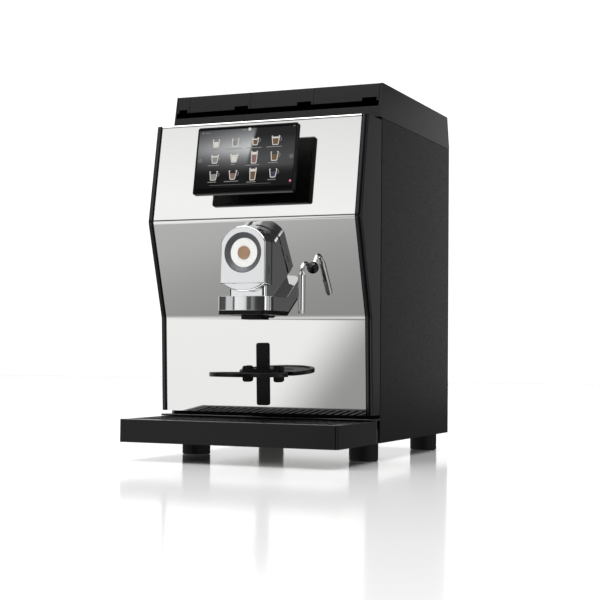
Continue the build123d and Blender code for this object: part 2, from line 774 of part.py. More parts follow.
def brew_spindle():
    """Threaded drive spindle of the piston, with a collar under the upper shelf."""
    screw = rod(spindle_radius, (0, spindle_y, brew_bottom - 14), (0, spindle_y, brew_top))
    z = brew_top - shelf_thick - 5
    return screw + rod(7, (0, spindle_y, z), (0, spindle_y, z + 4.6))


# ---- boilers, pump, electrics ---------------------------------------------------------------
def boiler(x, radius, height, valves):
    """Upright boiler with domed ends on three legs, pipe stubs and solenoid valves on top."""
    top = boiler_floor + height
    tank = rod(radius, (x, boiler_y, boiler_floor), (x, boiler_y, top))
    tank = fillet(tank.edges(), 14)
    for turn in (90, 210, 330):
        leg_x = x + (radius - 18) * cos(radians(turn))
        leg_y = boiler_y + (radius - 18) * sin(radians(turn))
        tank += rod(5, (leg_x, leg_y, underside + base_wall), (leg_x, leg_y, boiler_floor + 2))
    tank += rod(radius + 1.5, (x, boiler_y, top - 40), (x, boiler_y, top - 32))
    for offset in valves:
        place = x + offset
        tank += block((place - 9, place + 9), (boiler_y - 9, boiler_y + 9), (top - 1, top + 14))
        tank += rod(10, (place, boiler_y, top + 13), (place, boiler_y, top + 42))
        tank += rod(3, (place, boiler_y, top + 41), (place, boiler_y, top + 50))
    return tank


def pump():
    """Rotary pump: brass head on a fan-cooled motor, on a folded foot."""
    x = (bin_left() + bin_right()) / 2
    z = underside + base_wall + 14 + pump_motor_radius
    y = rear_face - 52 - pump_motor_length
    body = rod(pump_motor_radius, (x, y, z), (x, y + pump_motor_length, z))
    body = fillet(body.edges().group_by(Axis.Y)[-1], 6)
    for ring in range(6):
        body += rod(pump_motor_radius + 2, (x, y + 10 + ring * 12, z), (x, y + 14 + ring * 12, z))
    body += rod(pump_head_radius, (x, y - pump_head_length, z), (x, y + 1, z))
    for side in (-1, 1):
        body += rod(6, (x, y - 20, z), (x + side * (pump_head_radius + 10), y - 20, z))
    foot = underside + base_wall
    body += block((x - 24, x + 24), (y + 12, y + pump_motor_length - 12), (foot, z - pump_motor_radius + 4))
    return body


def control_board():
    """Circuit board on stand-offs on the left side panel, with its larger components."""
    x = -inner_half + 2 + board_stand_off
    y = (60.0, cabinet_depth - 110)
    z = (brew_bottom + 24, grinder_bottom + 14)
    board = block((x, x + board_thick), y, z)
    for post_y in (y[0] + 8, y[1] - 8):
        for post_z in (z[0] + 8, z[1] - 8):
            board += rod(3, (-inner_half, post_y, post_z), (x + 0.5, post_y, post_z))
    face = x + board_thick - 0.1
    board += block((face, face + 9), (y[0] + 30, y[0] + 66), (z[0] + 24, z[0] + 60))
    board += block((face, face + 14), (y[1] - 60, y[1] - 24), (z[0] + 30, z[0] + 70))
    for index in range(6):
        step_y = y[0] + 20 + index * 30
        board += block((face, face + 8), (step_y, step_y + 20), (z[1] - 22, z[1] - 10))
    for index in range(3):
        step_z = z[0] + 90 + index * 24
        board += rod(8, (face, y[1] - 40, step_z), (face + 20, y[1] - 40, step_z))
    return board


def fan_housing():
    """Square axial fan frame with its hub and struts, behind the rear grille."""
    x, y, z = fan_place()
    size = fan_size / 2
    back = y - 0.2
    frame = block((x - size, x + size), (back - fan_thick, back), (z - size, z + size))
    frame = fillet(frame.edges().filter_by(Axis.Y), 5)
    frame -= rod(fan_bore, (x, back - fan_thick - 1, z), (x, back + 1, z))
    for angle in (0, 60, 120):
        strut = Rot(0, angle, 0) * Box(2 * fan_bore + 2, 2.5, 3.5)
        frame += Pos(x, back - 1.5, z) * strut
    frame += rod(16, (x, back - 3, z), (x, back - 0.3, z))
    return frame + rod(1.5, (x, back - 16, z), (x, back - 2, z))


def fan_rotor():
    """Fan rotor: hub with seven pitched blades on the housing's pin."""
    x, y, z = fan_place()
    back = y - 0.2
    hub = (back - fan_thick + 3, back - 4)
    rotor = rod(17, (x, hub[0], z), (x, hub[1], z))
    reach = fan_bore - rotor_clearance
    for blade in range(7):
        vane = Pos((15 + reach) / 2, 0, 0) * Rot(32, 0, 0) * Box(reach - 15, 1.6, 22)
        vane = Rot(0, blade * 360 / 7, 0) * vane
        rotor += Pos(x, (hub[0] + hub[1]) / 2, z) * vane
    return rotor - rod(1.5 + running_fit, (x, back - 16.5, z), (x, back, z))


# ---- service door ---------------------------------------------------------------------------
def door_shell():
    """Black moulding that carries the door: side cheeks, roof, floor and inner skin, open behind."""
    inset = sheet + 0.1
    back = -door_gap
    front = front_line(inset)
    across = half - trim_width - 0.1
    solid = prism(front + [(back, door_top), (back, door_bottom)], (-across, across))
    hollow = front_line(inset + moulded_wall, door_bottom + moulded_wall, door_top - moulded_wall)
    solid -= prism(hollow + [(back + 1, door_top - moulded_wall), (back + 1, door_bottom + moulded_wall)],
                   (-half + cheek, half - cheek))
    front = front_line(trim_depth - trim_proud + 0.1)
    wall = front + [(back, door_top), (back, door_bottom)]
    solid += prism(wall, (-half, -half + cheek))
    solid += prism(wall, (half - cheek, half))
    bore = hinge_pin_radius + running_fit
    for z in ((door_bottom - 1, door_bottom + 17), (door_top - 17, door_top + 1)):
        solid -= rod(bore, (hinge_x, hinge_y, z[0]), (hinge_x, hinge_y, z[1]))
    ball = (wand_x, wand_ball_y, wand_height)
    seat = rod(17, (wand_x, face_y(wand_height) + inset + 1, wand_height),
               (wand_x, face_y(wand_height) + 24, wand_height))
    solid += seat & behind_face((wand_x - 20, wand_x + 20), inset)
    return solid - Pos(*ball) * Sphere(wand_ball_radius + ball_fit)


def front_sheet():
    """Polished steel face of the door, bent twice, with its top edge folded to a bright lip."""
    across = (-half + trim_width + 0.5, half - trim_width - 0.5)
    outer = front_line(0)
    inner = front_line(sheet)
    face = prism(outer + inner[::-1], across)
    face = fillet(near(face, -reach_high_bend, high_bend, 0.5), bend_radius)
    inner_bend = front_line(sheet)[1]
    face = fillet(near(face, *inner_bend, 0.5), bend_radius)
    top = door_top
    lip = front_line(-1.6, low=top - sheet_lip)
    fold = prism([(face_y(top - sheet_lip) - 1.6, top - sheet_lip), (lip[3][0], top),
                  (face_y(top) + 0.4, top), (face_y(top - sheet_lip) + 0.4, top - sheet_lip)], across)
    face += fillet(near(fold, lip[3][0], top, 0.5), 1.2)
    ball = (wand_x, wand_ball_y, wand_height)
    return face - Pos(*ball) * Sphere(wand_ball_radius + ball_fit)


def side_trim(side):
    """Rounded metal trim along one side of the steel face."""
    outer = front_line(-trim_proud)
    inner = front_line(trim_depth - trim_proud)
    across = (half - trim_width, half)
    trim = prism(outer + inner[::-1], across)
    trim = fillet(near(trim, *outer[2], 0.5), bend_radius)
    long_edges = [e for e in trim.edges() if abs(e.center().X - half) < 0.1 and e.length > 20
                  and abs(e.center().Y - face_y(e.center().Z, -trim_proud)) < 1]
    trim = fillet(long_edges, 2.5)
    return trim if side > 0 else trim.mirror(Plane.YZ)


def cup_rail():
    """Black upright rail on the lower face, which the cup tray slides on."""
    foot = [(face_y(z) - 0.02, z) for z in (rail_bottom, rail_top)]
    front = [(y - rail_thick, z) for y, z in foot]
    rail = prism(foot + front[::-1], (-rail_width / 2, rail_width / 2))
    corners = [e for e in rail.edges() if abs(abs(e.center().X) - rail_width / 2) < 0.1
               and e.length < rail_thick + 1]
    return fillet(corners, 4.0)


def arch(half_width, radius, bottom, y):
    """Arched outline in front view, extruded between two y coordinates."""
    shoulder = head_ring_height + (radius ** 2 - half_width ** 2) ** 0.5
    outline = Plane.XZ * (Pos(0, head_ring_height) * Circle(radius))
    body = extrude(outline, 1).moved(Location((0, 1, 0)))
    body &= block((-half_width, half_width), (-1, 2), (bottom, head_ring_height + radius + 1))
    body += block((-half_width, half_width), (0, 1), (bottom, min(shoulder, head_ring_height + 10)))
    face = body.faces().sort_by(Axis.Y)[0]
    return extrude(Pos(0, y[0], 0) * face, y[1] - y[0], dir=(0, 1, 0))


def outlet_plate():
    """Bright front plate of the outlet head, arched on top, with a conical recess for the badge."""
    y = (-plate_front, -plate_front + plate_thick)
    plate = arch(head_half, head_arch_radius, plate_bottom, y)
    plate = fillet(plate.edges().group_by(Axis.Y)[0], 2.2)
    axis = (0, -plate_front, head_ring_height)
    return plate - rod(badge_outer, (axis[0], axis[1] - 1, axis[2]), (0, y[0] + badge_recess + 3, axis[2]))


def badge_ring():
    """Dark conical ring that leads down to the badge."""
    y = -plate_front
    ring = rod(badge_outer - running_fit, (0, y + 0.2, head_ring_height),
               (0, y + badge_recess + 3, head_ring_height))
    depth = badge_recess
    slope = (badge_outer - 1.2 - badge_inner) / depth
    cone = Cone(badge_outer - 1.2 + slope, badge_inner, depth + 1)
    ring -= Pos(0, y + 0.2 + (depth - 1) / 2, head_ring_height) * Rot(-90, 0, 0) * cone
    return ring - rod(badge_inner, (0, y, head_ring_height), (0, y + 20, head_ring_height))


def badge_disc():
    """Plain white disc with a raised round boss in the middle of the badge."""
    y = -plate_front + badge_recess
    disc = rod(badge_inner - 0.05, (0, y, head_ring_height), (0, y + 3, head_ring_height))
    boss = rod(11.6, (0, y - 0.8, head_ring_height), (0, y + 1, head_ring_height))
    return disc + fillet(boss.edges().group_by(Axis.Y)[0], 0.6)


def outlet_housing():
    """Body of the outlet head: arch back to the door, groove round it, rounded chin and neck."""
    y = (-housing_front, -reach_low_bend)
    body = arch(head_half, head_arch_radius, plate_bottom - 1, y)
    groove = arch(head_half + 5, head_arch_radius + 5, 0, (-groove_front, -groove_back))
    core = arch(head_half - groove_depth, head_arch_radius - groove_depth, -1,
                (-groove_front - 1, -groove_back + 1))
    body -= groove - core
    slot = (head_ring_height - 38, head_ring_height - 23)
    body -= block((head_half - 2, head_half + 1), (-housing_front + 2.6, -housing_front + 5.6), slot)
    chin = extrude(Plane.XZ * (Pos(0, head_ring_height) * Circle(chin_radius)), 26)
    chin = chin.moved(Location((0, -housing_front + 16, 0)))
    chin &= block((-head_half, head_half), (-cabinet_depth, 0), (0, plate_bottom - 0.6))
    lower = [e for e in chin.edges().group_by(Axis.Y)[0] if e.center().Z < plate_bottom - 3]
    body += fillet(lower, 3.5)
    neck = block((-head_half + 6, head_half - 6), (-housing_front + 6, y[1]), (collar_top, plate_bottom))
    body += fillet(neck.edges().filter_by(Axis.Z).group_by(Axis.Y)[0], 8)
    return body - behind_face((-half, half), -0.02)


def head_column(half_width, front, corner, z):
    """Upright block with two rounded front corners, cut off at the door's face."""
    depth = front - reach_bottom
    plan = Pos(0, -front + depth / 2) * Rectangle(2 * half_width, depth)
    solid = column(plan, z)
    solid = fillet(solid.edges().filter_by(Axis.Z).group_by(Axis.Y)[0], corner)
    return solid - behind_face((-half, half), -0.02)


def outlet_collar():
    """Chromed collar round the bottom of the head."""
    ring = head_column(collar_half, collar_front, collar_corner, (collar_bottom, collar_top))
    top = [e for e in ring.edges().group_by(Axis.Z)[-1] if e.center().Y < -reach_high_bend + 20]
    ring = fillet(top, 0.9)
    inside = head_column(collar_half - 3, collar_front - 3, collar_corner - 3,
                         (collar_bottom - 1, collar_bottom + 14))
    return ring - inside


def spout_block():
    """Black spout carrier under the collar, with a double coffee spout."""
    base = head_column(collar_half - 3.5, collar_front - 3.5, collar_corner - 3,
                       (spout_base_bottom, collar_bottom + 13.5))
    spout = block((-spout_half, spout_half), (-spout_front, -reach_low_bend - 12),
                  (spout_bottom, spout_base_bottom + 1))
    spout = fillet(spout.edges().filter_by(Axis.Z), 5)
    base += spout
    for side in (-1, 1):
        x = side * nozzle_spacing / 2
        base -= rod(nozzle_bore, (x, -spout_front + 11, spout_bottom - 1),
                    (x, -spout_front + 11, spout_base_bottom + 8))
    return base


def wand_ball():
    """Ball of the steam wand joint, with its stub behind the door."""
    return Pos(wand_x, wand_ball_y, wand_height) * Sphere(wand_ball_radius)


def wand_tube():
    """Bent steam tube from the ball out and down to the sleeve."""
    start = (wand_x, wand_ball_y, wand_height)
    knee = (wand_drop_x, -wand_reach, wand_height + wand_knee_rise)
    end = (wand_drop_x, -wand_reach, sleeve_top - 12)
    path = FilletPolyline(start, knee, end, radius=wand_bend_radius)
    profile = Plane(origin=start, z_dir=path % 0) * Circle(wand_tube_radius)
    tube = sweep(profile, path=path)
    tube += rod(wand_tube_radius, end, (wand_drop_x, -wand_reach, wand_tip_height + 4))
    return tube - Pos(*start) * Sphere(wand_ball_radius + ball_fit)


def wand_sleeve():
    """Steel sleeve of the wand with a tapered shoulder and a small steam tip."""
    axis = (wand_drop_x, -wand_reach)
    sleeve = rod(sleeve_radius, (*axis, sleeve_bottom), (*axis, sleeve_top - 7))
    sleeve += Pos(*axis, sleeve_top - 3.5) * Cone(sleeve_radius, wand_tube_radius + 0.6, 7)
    sleeve += rod(sleeve_radius - 1.2, (*axis, wand_tip_height), (*axis, sleeve_bottom + 1))
    bore = wand_tube_radius + running_fit
    return sleeve - rod(bore, (*axis, wand_tip_height + 4), (*axis, sleeve_top + 1))


def display_arm():
    """Stand-off behind the screen: a foot on the door's face and two ears for the tilt pin."""
    arm = extrude(screen_plane(0.02) * RectangleRounded(64, 52, 6), 4)
    arm += extrude(screen_plane(3) * Rectangle(56, 17), screen_pivot - 3)
    pivot = screen_plane(screen_pivot).origin
    arm += rod(8.5, (-28, pivot.Y, pivot.Z), (28, pivot.Y, pivot.Z))
    arm -= block((-20.5, 20.5), (pivot.Y - 13, pivot.Y + 13), (pivot.Z - 13, pivot.Z + 13))
    arm += rod(pivot_pin_radius, (-21, pivot.Y, pivot.Z), (21, pivot.Y, pivot.Z))
    return arm


def display_housing():
    """Screen housing: a thin tray for the glass, with a hinge boss on its back."""
    back = screen_front - screen_thick
    depth = screen_thick - 0.2
    case = extrude(screen_plane(back) * RectangleRounded(screen_width, screen_height, 4), depth)
    normal = screen_plane(0).z_dir
    rear = case.faces().sort_by(Axis(origin=(0, 0, 0), direction=normal))[0]
    case = chamfer(rear.edges(), 2.5)
    border = glass_border
    window = RectangleRounded(screen_width - 2 * border, screen_height - 2 * border, 3)
    case -= extrude(screen_plane(screen_front - glass_thick) * window, glass_thick + 1)
    pivot = screen_plane(screen_pivot).origin
    case += extrude(screen_plane(screen_pivot) * Rectangle(40, 14), back - screen_pivot + 1)
    case += rod(7.0, (-20, pivot.Y, pivot.Z), (20, pivot.Y, pivot.Z))
    return case - rod(pivot_pin_radius + running_fit, (-25, pivot.Y, pivot.Z), (25, pivot.Y, pivot.Z))


def display_glass():
    """Touch glass set into the housing."""
    border = glass_border + 0.1
    window = RectangleRounded(screen_width - 2 * border, screen_height - 2 * border, 2.9)
    return extrude(screen_plane(screen_front - glass_thick) * window, glass_thick)


# ---- cup tray and drip tray -----------------------------------------------------------------
def cup_carriage():
    """Slide of the cup tray: a cross bar in front of the rail with a rubber pad on each side."""
    gap = 0.4
    pad_thick = 6.5
    bar = prism([(face_y(cup_height) - rail_thick - gap, cup_height - 1),
                 (face_y(cup_height) - rail_thick - gap - 9, cup_height - 1),
                 (face_y(pad_top) - rail_thick - gap - 9, cup_height + cup_thick + 5),
                 (face_y(pad_top) - rail_thick - gap, cup_height + cup_thick + 5)],
                (-pad_spacing / 2 - 4, pad_spacing / 2 + 4))
    for side in (-1, 1):
        x = side * pad_spacing / 2
        pad = prism([(face_y(pad_bottom) - gap, pad_bottom), (face_y(pad_top) - gap, pad_top),
                     (face_y(pad_top) - gap - pad_thick, pad_top),
                     (face_y(pad_bottom) - gap - pad_thick, pad_bottom)],
                    (x - pad_width / 2, x + pad_width / 2))
        corners = [e for e in pad.edges() if e.length < pad_thick + 1 and abs(e.center().X - x) > 1]
        bar += fillet(corners, 4.5)
    return bar


def cup_back():
    """Flat back edge of the round cup tray, just in front of the slide."""
    return face_y(pad_top) - rail_thick - 0.4 - 9


def cup_ring():
    """Round cup tray: a rim and a slotted floor on spokes, cut flat where it meets its slide."""
    z = (cup_height, cup_height + cup_thick)
    centre = (0, -cup_reach)
    rim = column(Pos(*centre) * Circle(cup_radius), z)
    rim = fillet(rim.edges().group_by(Axis.Z)[-1], 1.5)
    rim -= column(Pos(*centre) * Circle(cup_radius - cup_rim), (z[0] - 1, z[1] + 1))
    floor = (z[0] + 1, z[1] - 1.5)
    plate = column(Pos(*centre) * Circle(cup_radius - cup_rim + 1), floor)
    gap = column(Pos(*centre) * Circle(cup_radius - cup_rim - 1), floor)
    gap -= column(Pos(*centre) * Circle(cup_radius - cup_rim - 1 - cup_slot), floor)
    for index in range(cup_spokes):
        spoke = Rot(0, 0, 360 * (index + 0.5) / cup_spokes) * Pos(cup_radius / 2, 0) * Rectangle(cup_radius, 9)
        gap -= column(Pos(*centre) * spoke, floor)
    plate -= gap
    for index in range(-3, 4):
        reach = 30.0 - 4.0 * abs(index)
        plate -= block((index * 9.0 - cup_slot / 2, index * 9.0 + cup_slot / 2),
                       (-cup_reach - reach, -cup_reach + reach), (z[0], z[1]))
    tray = rim + plate
    back = cup_back() + 0.01
    tray += block((-48, 48), (back - 8, back), z) & column(Pos(*centre) * Circle(cup_radius - 1), z)
    return tray & block((-cup_radius - 1, cup_radius + 1), (-cabinet_depth, back), (0, cabinet_top))


def grid_limits():
    """x half width and y limits of the drip grid, which ends just in front of the sill."""
    back = -reach_bottom - sill_proud - grid_gap
    return drip_half - tray_rim - grid_gap, (-tray_reach + tray_rim + grid_gap, back)


def drip_tray():
    """Moulded drip tray: a well with a ledge for the grid, a hollow rim and two sliding tongues."""
    x = (-drip_half, drip_half)
    y = (-tray_reach, -drip_back)
    z = (underside - 0.3, drip_top)
    grid_half, (grid_front, grid_back) = grid_limits()
    shelf = drip_top - grid_sunk - grid_thick
    well_half = grid_half - grid_ledge
    well_y = (grid_front + grid_ledge, grid_back - grid_ledge)
    pan = block(x, y, z)
    pan = fillet(pan.edges().filter_by(Axis.Z).group_by(Axis.Y)[0], 5)
    pan = fillet(pan.edges().group_by(Axis.Z)[-1], 1.2)
    rim_hollow = block((x[0] + drip_wall, x[1] - drip_wall), (y[0] + drip_wall, y[1] - drip_wall),
                       (z[0] - 1, shelf - drip_wall))
    rim_hollow -= block((-well_half - drip_wall, well_half + drip_wall),
                        (well_y[0] - drip_wall, well_y[1] + drip_wall), (z[0] - 2, shelf))
    pan -= rim_hollow
    pan -= block((-well_half, well_half), well_y, (z[0] + drip_wall, z[1] + 1))
    pan -= block((-grid_half - grid_gap, grid_half + grid_gap),
                 (grid_front - grid_gap, grid_back + grid_gap), (shelf, z[1] + 1))
    for side in (-1, 1):
        at = side * tongue_x
        pan += block((at - tongue_width / 2, at + tongue_width / 2), (-drip_back - 1, tongue_reach),
                     (tongue_bottom, tongue_top))
    return pan


def drip_grid():
    """Slotted steel grid that lifts out of the drip tray."""
    x, y = grid_limits()
    z = (drip_top - grid_sunk - grid_thick, drip_top - grid_sunk)
    grid = block((-x, x), y, z)
    pitch = (2 * x - 24) / grid_slot_columns
    middle = (y[0] + y[1]) / 2
    for index in range(grid_slot_columns):
        at = -x + 12 + pitch * (index + 0.5)
        for row in ((y[0] + 8, middle - 4), (middle + 4, y[1] - 8)):
            grid -= block((at - pitch * 0.3, at + pitch * 0.3), row, (z[0] - 1, z[1] + 1))
    return grid


def export(name, solid):
    """Write one piece, moved into the row's frame."""
    shift = (tray_reach - cabinet_depth) / 2
    moved = Pos(0, shift, 0) * solid
    moved.label = name
    export_step(moved, f"parts/{name}.step")


pieces = {
    "base_frame": base_frame(), "feet": feet(),
    "side_panel_left": side_panel(-1), "side_panel_right": side_panel(1),
    "rear_panel": rear_panel(), "rear_screws": rear_screws(),
    "connection_tray": connection_tray(), "power_inlet": power_inlet(),
    "power_rocker": power_rocker(), "water_inlet": water_inlet(),
    "front_frame": front_frame(), "sill": sill(), "door_hinge_pins": door_hinge_pins(),
    "grounds_container": grounds_container(),
    "hood": hood(), "lid_hinge_rod": lid_hinge_rod(),
    "lid_tablet": lid(tablet_lid_left, tablet_lid_width),
    "lid_beans_left": lid(bean_lid_left, hopper_lid_width),
    "lid_beans_right": lid(bean_lid_left + hopper_lid_width, hopper_lid_width),
    "lid_powder": lid(bean_lid_left + 2 * hopper_lid_width, hopper_lid_width),
    "bean_hopper_left": bean_hopper(bean_left_x), "bean_hopper_right": bean_hopper(bean_right_x),
    "powder_canister": powder_canister(), "powder_auger": powder_auger(),
    "mixing_bowl": mixing_bowl(),
    "grinder_left": grinder(bean_left_x), "grinder_right": grinder(bean_right_x),
    "burr_left": burr(bean_left_x), "burr_right": burr(bean_right_x),
    "brew_frame": brew_frame(), "brew_cylinder": brew_cylinder(),
    "brew_piston": brew_piston(), "brew_spindle": brew_spindle(),
    "steam_boiler": boiler(110, steam_boiler_radius, steam_boiler_height, (-20, 20)),
    "coffee_boiler": boiler(-5, coffee_boiler_radius, coffee_boiler_height, (0,)),
    "pump": pump(), "control_board": control_board(),
    "fan_housing": fan_housing(), "fan_rotor": fan_rotor(),
    "door_shell": door_shell(), "front_sheet": front_sheet(),
    "trim_left": side_trim(-1), "trim_right": side_trim(1), "cup_rail": cup_rail(),
    "outlet_plate": outlet_plate(), "badge_ring": badge_ring(), "badge_disc": badge_disc(),
    "outlet_housing": outlet_housing(), "outlet_collar": outlet_collar(),
    "spout_block": spout_block(),
    "wand_ball": wand_ball(), "wand_tube": wand_tube(), "wand_sleeve": wand_sleeve(),
    "display_arm": display_arm(), "display_housing": display_housing(),
    "display_glass": display_glass(),
    "cup_carriage": cup_carriage(), "cup_ring": cup_ring(),
    "drip_tray": drip_tray(), "drip_grid": drip_grid(),
}
for name, solid in pieces.items():
    export(name, solid)
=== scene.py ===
import math

import bmesh
import bpy
from mathutils import Matrix, Vector
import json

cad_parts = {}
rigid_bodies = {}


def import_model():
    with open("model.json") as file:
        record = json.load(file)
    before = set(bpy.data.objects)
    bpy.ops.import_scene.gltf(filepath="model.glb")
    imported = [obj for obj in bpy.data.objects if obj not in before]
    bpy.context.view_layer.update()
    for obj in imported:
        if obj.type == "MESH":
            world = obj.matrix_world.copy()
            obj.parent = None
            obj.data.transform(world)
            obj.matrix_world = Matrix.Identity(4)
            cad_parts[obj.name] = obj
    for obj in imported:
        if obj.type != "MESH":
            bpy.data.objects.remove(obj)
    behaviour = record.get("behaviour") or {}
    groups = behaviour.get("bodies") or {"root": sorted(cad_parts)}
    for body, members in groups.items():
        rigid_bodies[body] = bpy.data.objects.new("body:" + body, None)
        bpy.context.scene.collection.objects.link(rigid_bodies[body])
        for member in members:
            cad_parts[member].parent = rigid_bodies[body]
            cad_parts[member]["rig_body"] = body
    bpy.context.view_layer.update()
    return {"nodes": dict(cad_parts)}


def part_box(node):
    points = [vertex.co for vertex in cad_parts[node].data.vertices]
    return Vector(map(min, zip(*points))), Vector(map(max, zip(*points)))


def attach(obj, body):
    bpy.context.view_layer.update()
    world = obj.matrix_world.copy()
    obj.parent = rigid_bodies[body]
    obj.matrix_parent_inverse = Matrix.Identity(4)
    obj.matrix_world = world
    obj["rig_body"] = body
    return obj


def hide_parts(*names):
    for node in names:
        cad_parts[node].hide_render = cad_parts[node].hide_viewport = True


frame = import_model()

MM = 0.001
pieces = frame["nodes"]


# ---- Camera -----------------------------------------------------------------------------------
# A long lens low on the counter, to the right of the machine, looking slightly up at it.
# Its place is in metres, measured from the front edge of the cabinet sides.
cabinet_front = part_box("side_panel_right")[0].y

camera_place = Vector((1.05195, cabinet_front - 2.31387, 0.19213))
camera_yaw = math.radians(23.37)
camera_pitch = math.radians(2.25)
camera_roll = math.radians(0.52)
lens_mm = 82.41
sensor_mm = 36

ahead = Vector((-math.sin(camera_yaw) * math.cos(camera_pitch),
                math.cos(camera_yaw) * math.cos(camera_pitch), math.sin(camera_pitch)))
level = Vector((math.cos(camera_yaw), math.sin(camera_yaw), 0))
upward = level.cross(ahead)
turned_right = level * math.cos(camera_roll) + upward * math.sin(camera_roll)
turned_up = upward * math.cos(camera_roll) - level * math.sin(camera_roll)
camera_data = bpy.data.cameras.new("camera")
camera_data.lens = lens_mm
camera_data.sensor_width = sensor_mm
camera = bpy.data.objects.new("camera", camera_data)
bpy.context.scene.collection.objects.link(camera)
camera.matrix_world = Matrix((
    (turned_right.x, turned_up.x, -ahead.x, camera_place.x),
    (turned_right.y, turned_up.y, -ahead.y, camera_place.y),
    (turned_right.z, turned_up.z, -ahead.z, camera_place.z),
    (0, 0, 0, 1)))
bpy.context.scene.camera = camera


# ---- Studio -----------------------------------------------------------------------------------
# A pale seamless floor, a soft overhead light, and a sky that is bright at the front left and
# dark round the camera, which is what polished steel and chrome need to look like metal.
def linear(hex_colour):
    """An sRGB hex colour as linear red, green, blue and alpha."""
    channels = [int(hex_colour[i:i + 2], 16) / 255 for i in (1, 3, 5)]
    curve = [c / 12.92 if c <= 0.04045 else ((c + 0.055) / 1.055) ** 2.4 for c in channels]
    return (*curve, 1.0)


def add(tree, kind, settings=None, links=None):
    """A shader or geometry node with its settings, socket values and incoming links."""
    node = tree.nodes.new(kind)
    for key, value in (settings or {}).items():
        if isinstance(key, str) and hasattr(node, key):
            setattr(node, key, value)
        else:
            node.inputs[key].default_value = value
    for key, source in (links or {}).items():
        tree.links.new(source, node.inputs[key])
    return node


bpy.context.scene.view_settings.view_transform = "Standard"
world = bpy.data.worlds.new("studio")
bpy.context.scene.world = world
world.use_nodes = True
sky = world.node_tree
sky.nodes.clear()


def wire(source, node, socket):
    """Link a value to a named input of a node in the same tree."""
    source.id_data.links.new(source, node.inputs[socket])


def scale(value, low, high, start, end, kind="SMOOTHSTEP"):
    """A value mapped from one range to another and held at its ends."""
    settings = {"interpolation_type": kind, "From Min": low, "From Max": high, "To Min": start, "To Max": end}
    return add(value.id_data, "ShaderNodeMapRange", settings, {"Value": value}).outputs["Result"]



def combine(operation, first, second=0.0):
    """Two values put through one Math operation; a number goes straight on its socket."""
    given = {0: first, 1: second}
    numbers = {key: value for key, value in given.items() if isinstance(value, (int, float))}
    links = {key: value for key, value in given.items() if key not in numbers}
    tree = next(iter(links.values())).id_data
    return add(tree, "ShaderNodeMath", {"operation": operation, **numbers}, links).outputs["Value"]


def product(*values):
    """Several values multiplied together."""
    total = values[0]
    for value in values[1:]:
        total = combine("MULTIPLY", total, value)
    return total


def blend(first, second, share):
    """First where share is 0 and second where it is 1."""
    return combine("ADD", product(first, combine("SUBTRACT", 1.0, share)), product(second, share))


def graded(value, levels):
    """A value turned into a level by straight runs between (value, level) pairs."""
    low, high = levels[0][0], levels[-1][0]
    even = scale(value, low, high, 0.0, 1.0, "LINEAR")
    ramp = add(value.id_data, "ShaderNodeValToRGB", links={"Fac": even})
    stops = ramp.color_ramp.elements
    while len(stops) < len(levels):
        stops.new(0.5)
    for stop, (at, level) in zip(stops, levels):
        stop.position = (at - low) / (high - low)
    for stop, (at, level) in zip(stops, levels):
        stop.color = (level, level, level, 1)
    return ramp.outputs["Color"]


direction = add(sky, "ShaderNodeTexCoord").outputs["Generated"]
parts = add(sky, "ShaderNodeSeparateXYZ", links={0: direction}).outputs
turns = combine("ARCTAN2", combine("MULTIPLY", parts["X"], -1.0), combine("MULTIPLY", parts["Y"], -1.0))
to_left = combine("MULTIPLY", turns, math.degrees(1))       # degrees left of straight out in front
rise = combine("MULTIPLY", combine("ARCSINE", parts["Z"]), math.degrees(1))

# the front-left softbox wall, from the floor cards below it up to the ceiling, by the sine of height
wall = graded(parts["Z"], [(-1.0, 0.24), (-0.52, 0.27), (-0.485, 0.31), (-0.455, 0.37), (-0.43, 0.46),
                           (-0.40, 0.5), (-0.36, 0.42), (-0.30, 0.86), (-0.05, 0.95), (0.10, 0.86),
                           (0.13, 0.09), (0.31, 0.09), (0.35, 0.98), (0.39, 1.0), (0.47, 0.84), (1.0, 0.95)])

# low down the wall ends in a slanting soft edge towards the lens
edge = scale(combine("ADD", to_left, combine("MULTIPLY", rise, 0.8)), 16.2, 19.6, 0.36, 1.0)
low_band = product(scale(rise, -16, -11, 0.0, 1.0), scale(rise, 4, 14, 1.0, 0.0))
wall = product(wall, combine("SUBTRACT", 1.0, product(low_band, combine("SUBTRACT", 1.0, edge))))

# at eye level the wall has upright flags, which draw the bands in curved chrome
flags = graded(to_left, [(0.0, 0.1), (11.0, 0.12), (13.0, 0.34), (15.0, 0.34), (16.0, 0.1), (19.5, 0.1),
                         (20.5, 0.62), (23.0, 0.86), (30.5, 0.95), (32.0, 0.95), (32.6, 0.1), (34.0, 0.1),
                         (34.6, 0.62), (41.0, 0.66), (42.5, 0.08), (90.0, 0.08)])
eye_level = product(scale(rise, -2.2, -1.2, 0.0, 1.0), scale(rise, 6, 8, 1.0, 0.0))
in_wall = product(scale(to_left, 6, 19, 0.0, 1.0), scale(to_left, 60, 85, 1.0, 0.0))

# elsewhere the room is dark at eye level and bright overhead
room = scale(rise, 22, 70, 0.04, 1.0)
light = blend(room, blend(wall, flags, eye_level), in_wall)

# white backdrop behind the machine, and a faint card behind it to the right
behind = []
for turn, height, start, end, bright in ((23, 0.06, 0.93, 0.953, 1.15), (-17, 0.05, 0.95, 0.99, 0.16)):
    aim = (-math.sin(math.radians(turn)), math.cos(math.radians(turn)), height)
    facing = add(sky, "ShaderNodeVectorMath", {"operation": "DOT_PRODUCT", 1: aim}, {0: direction})
    behind.append(scale(facing.outputs["Value"], start, end, 0.0, bright))

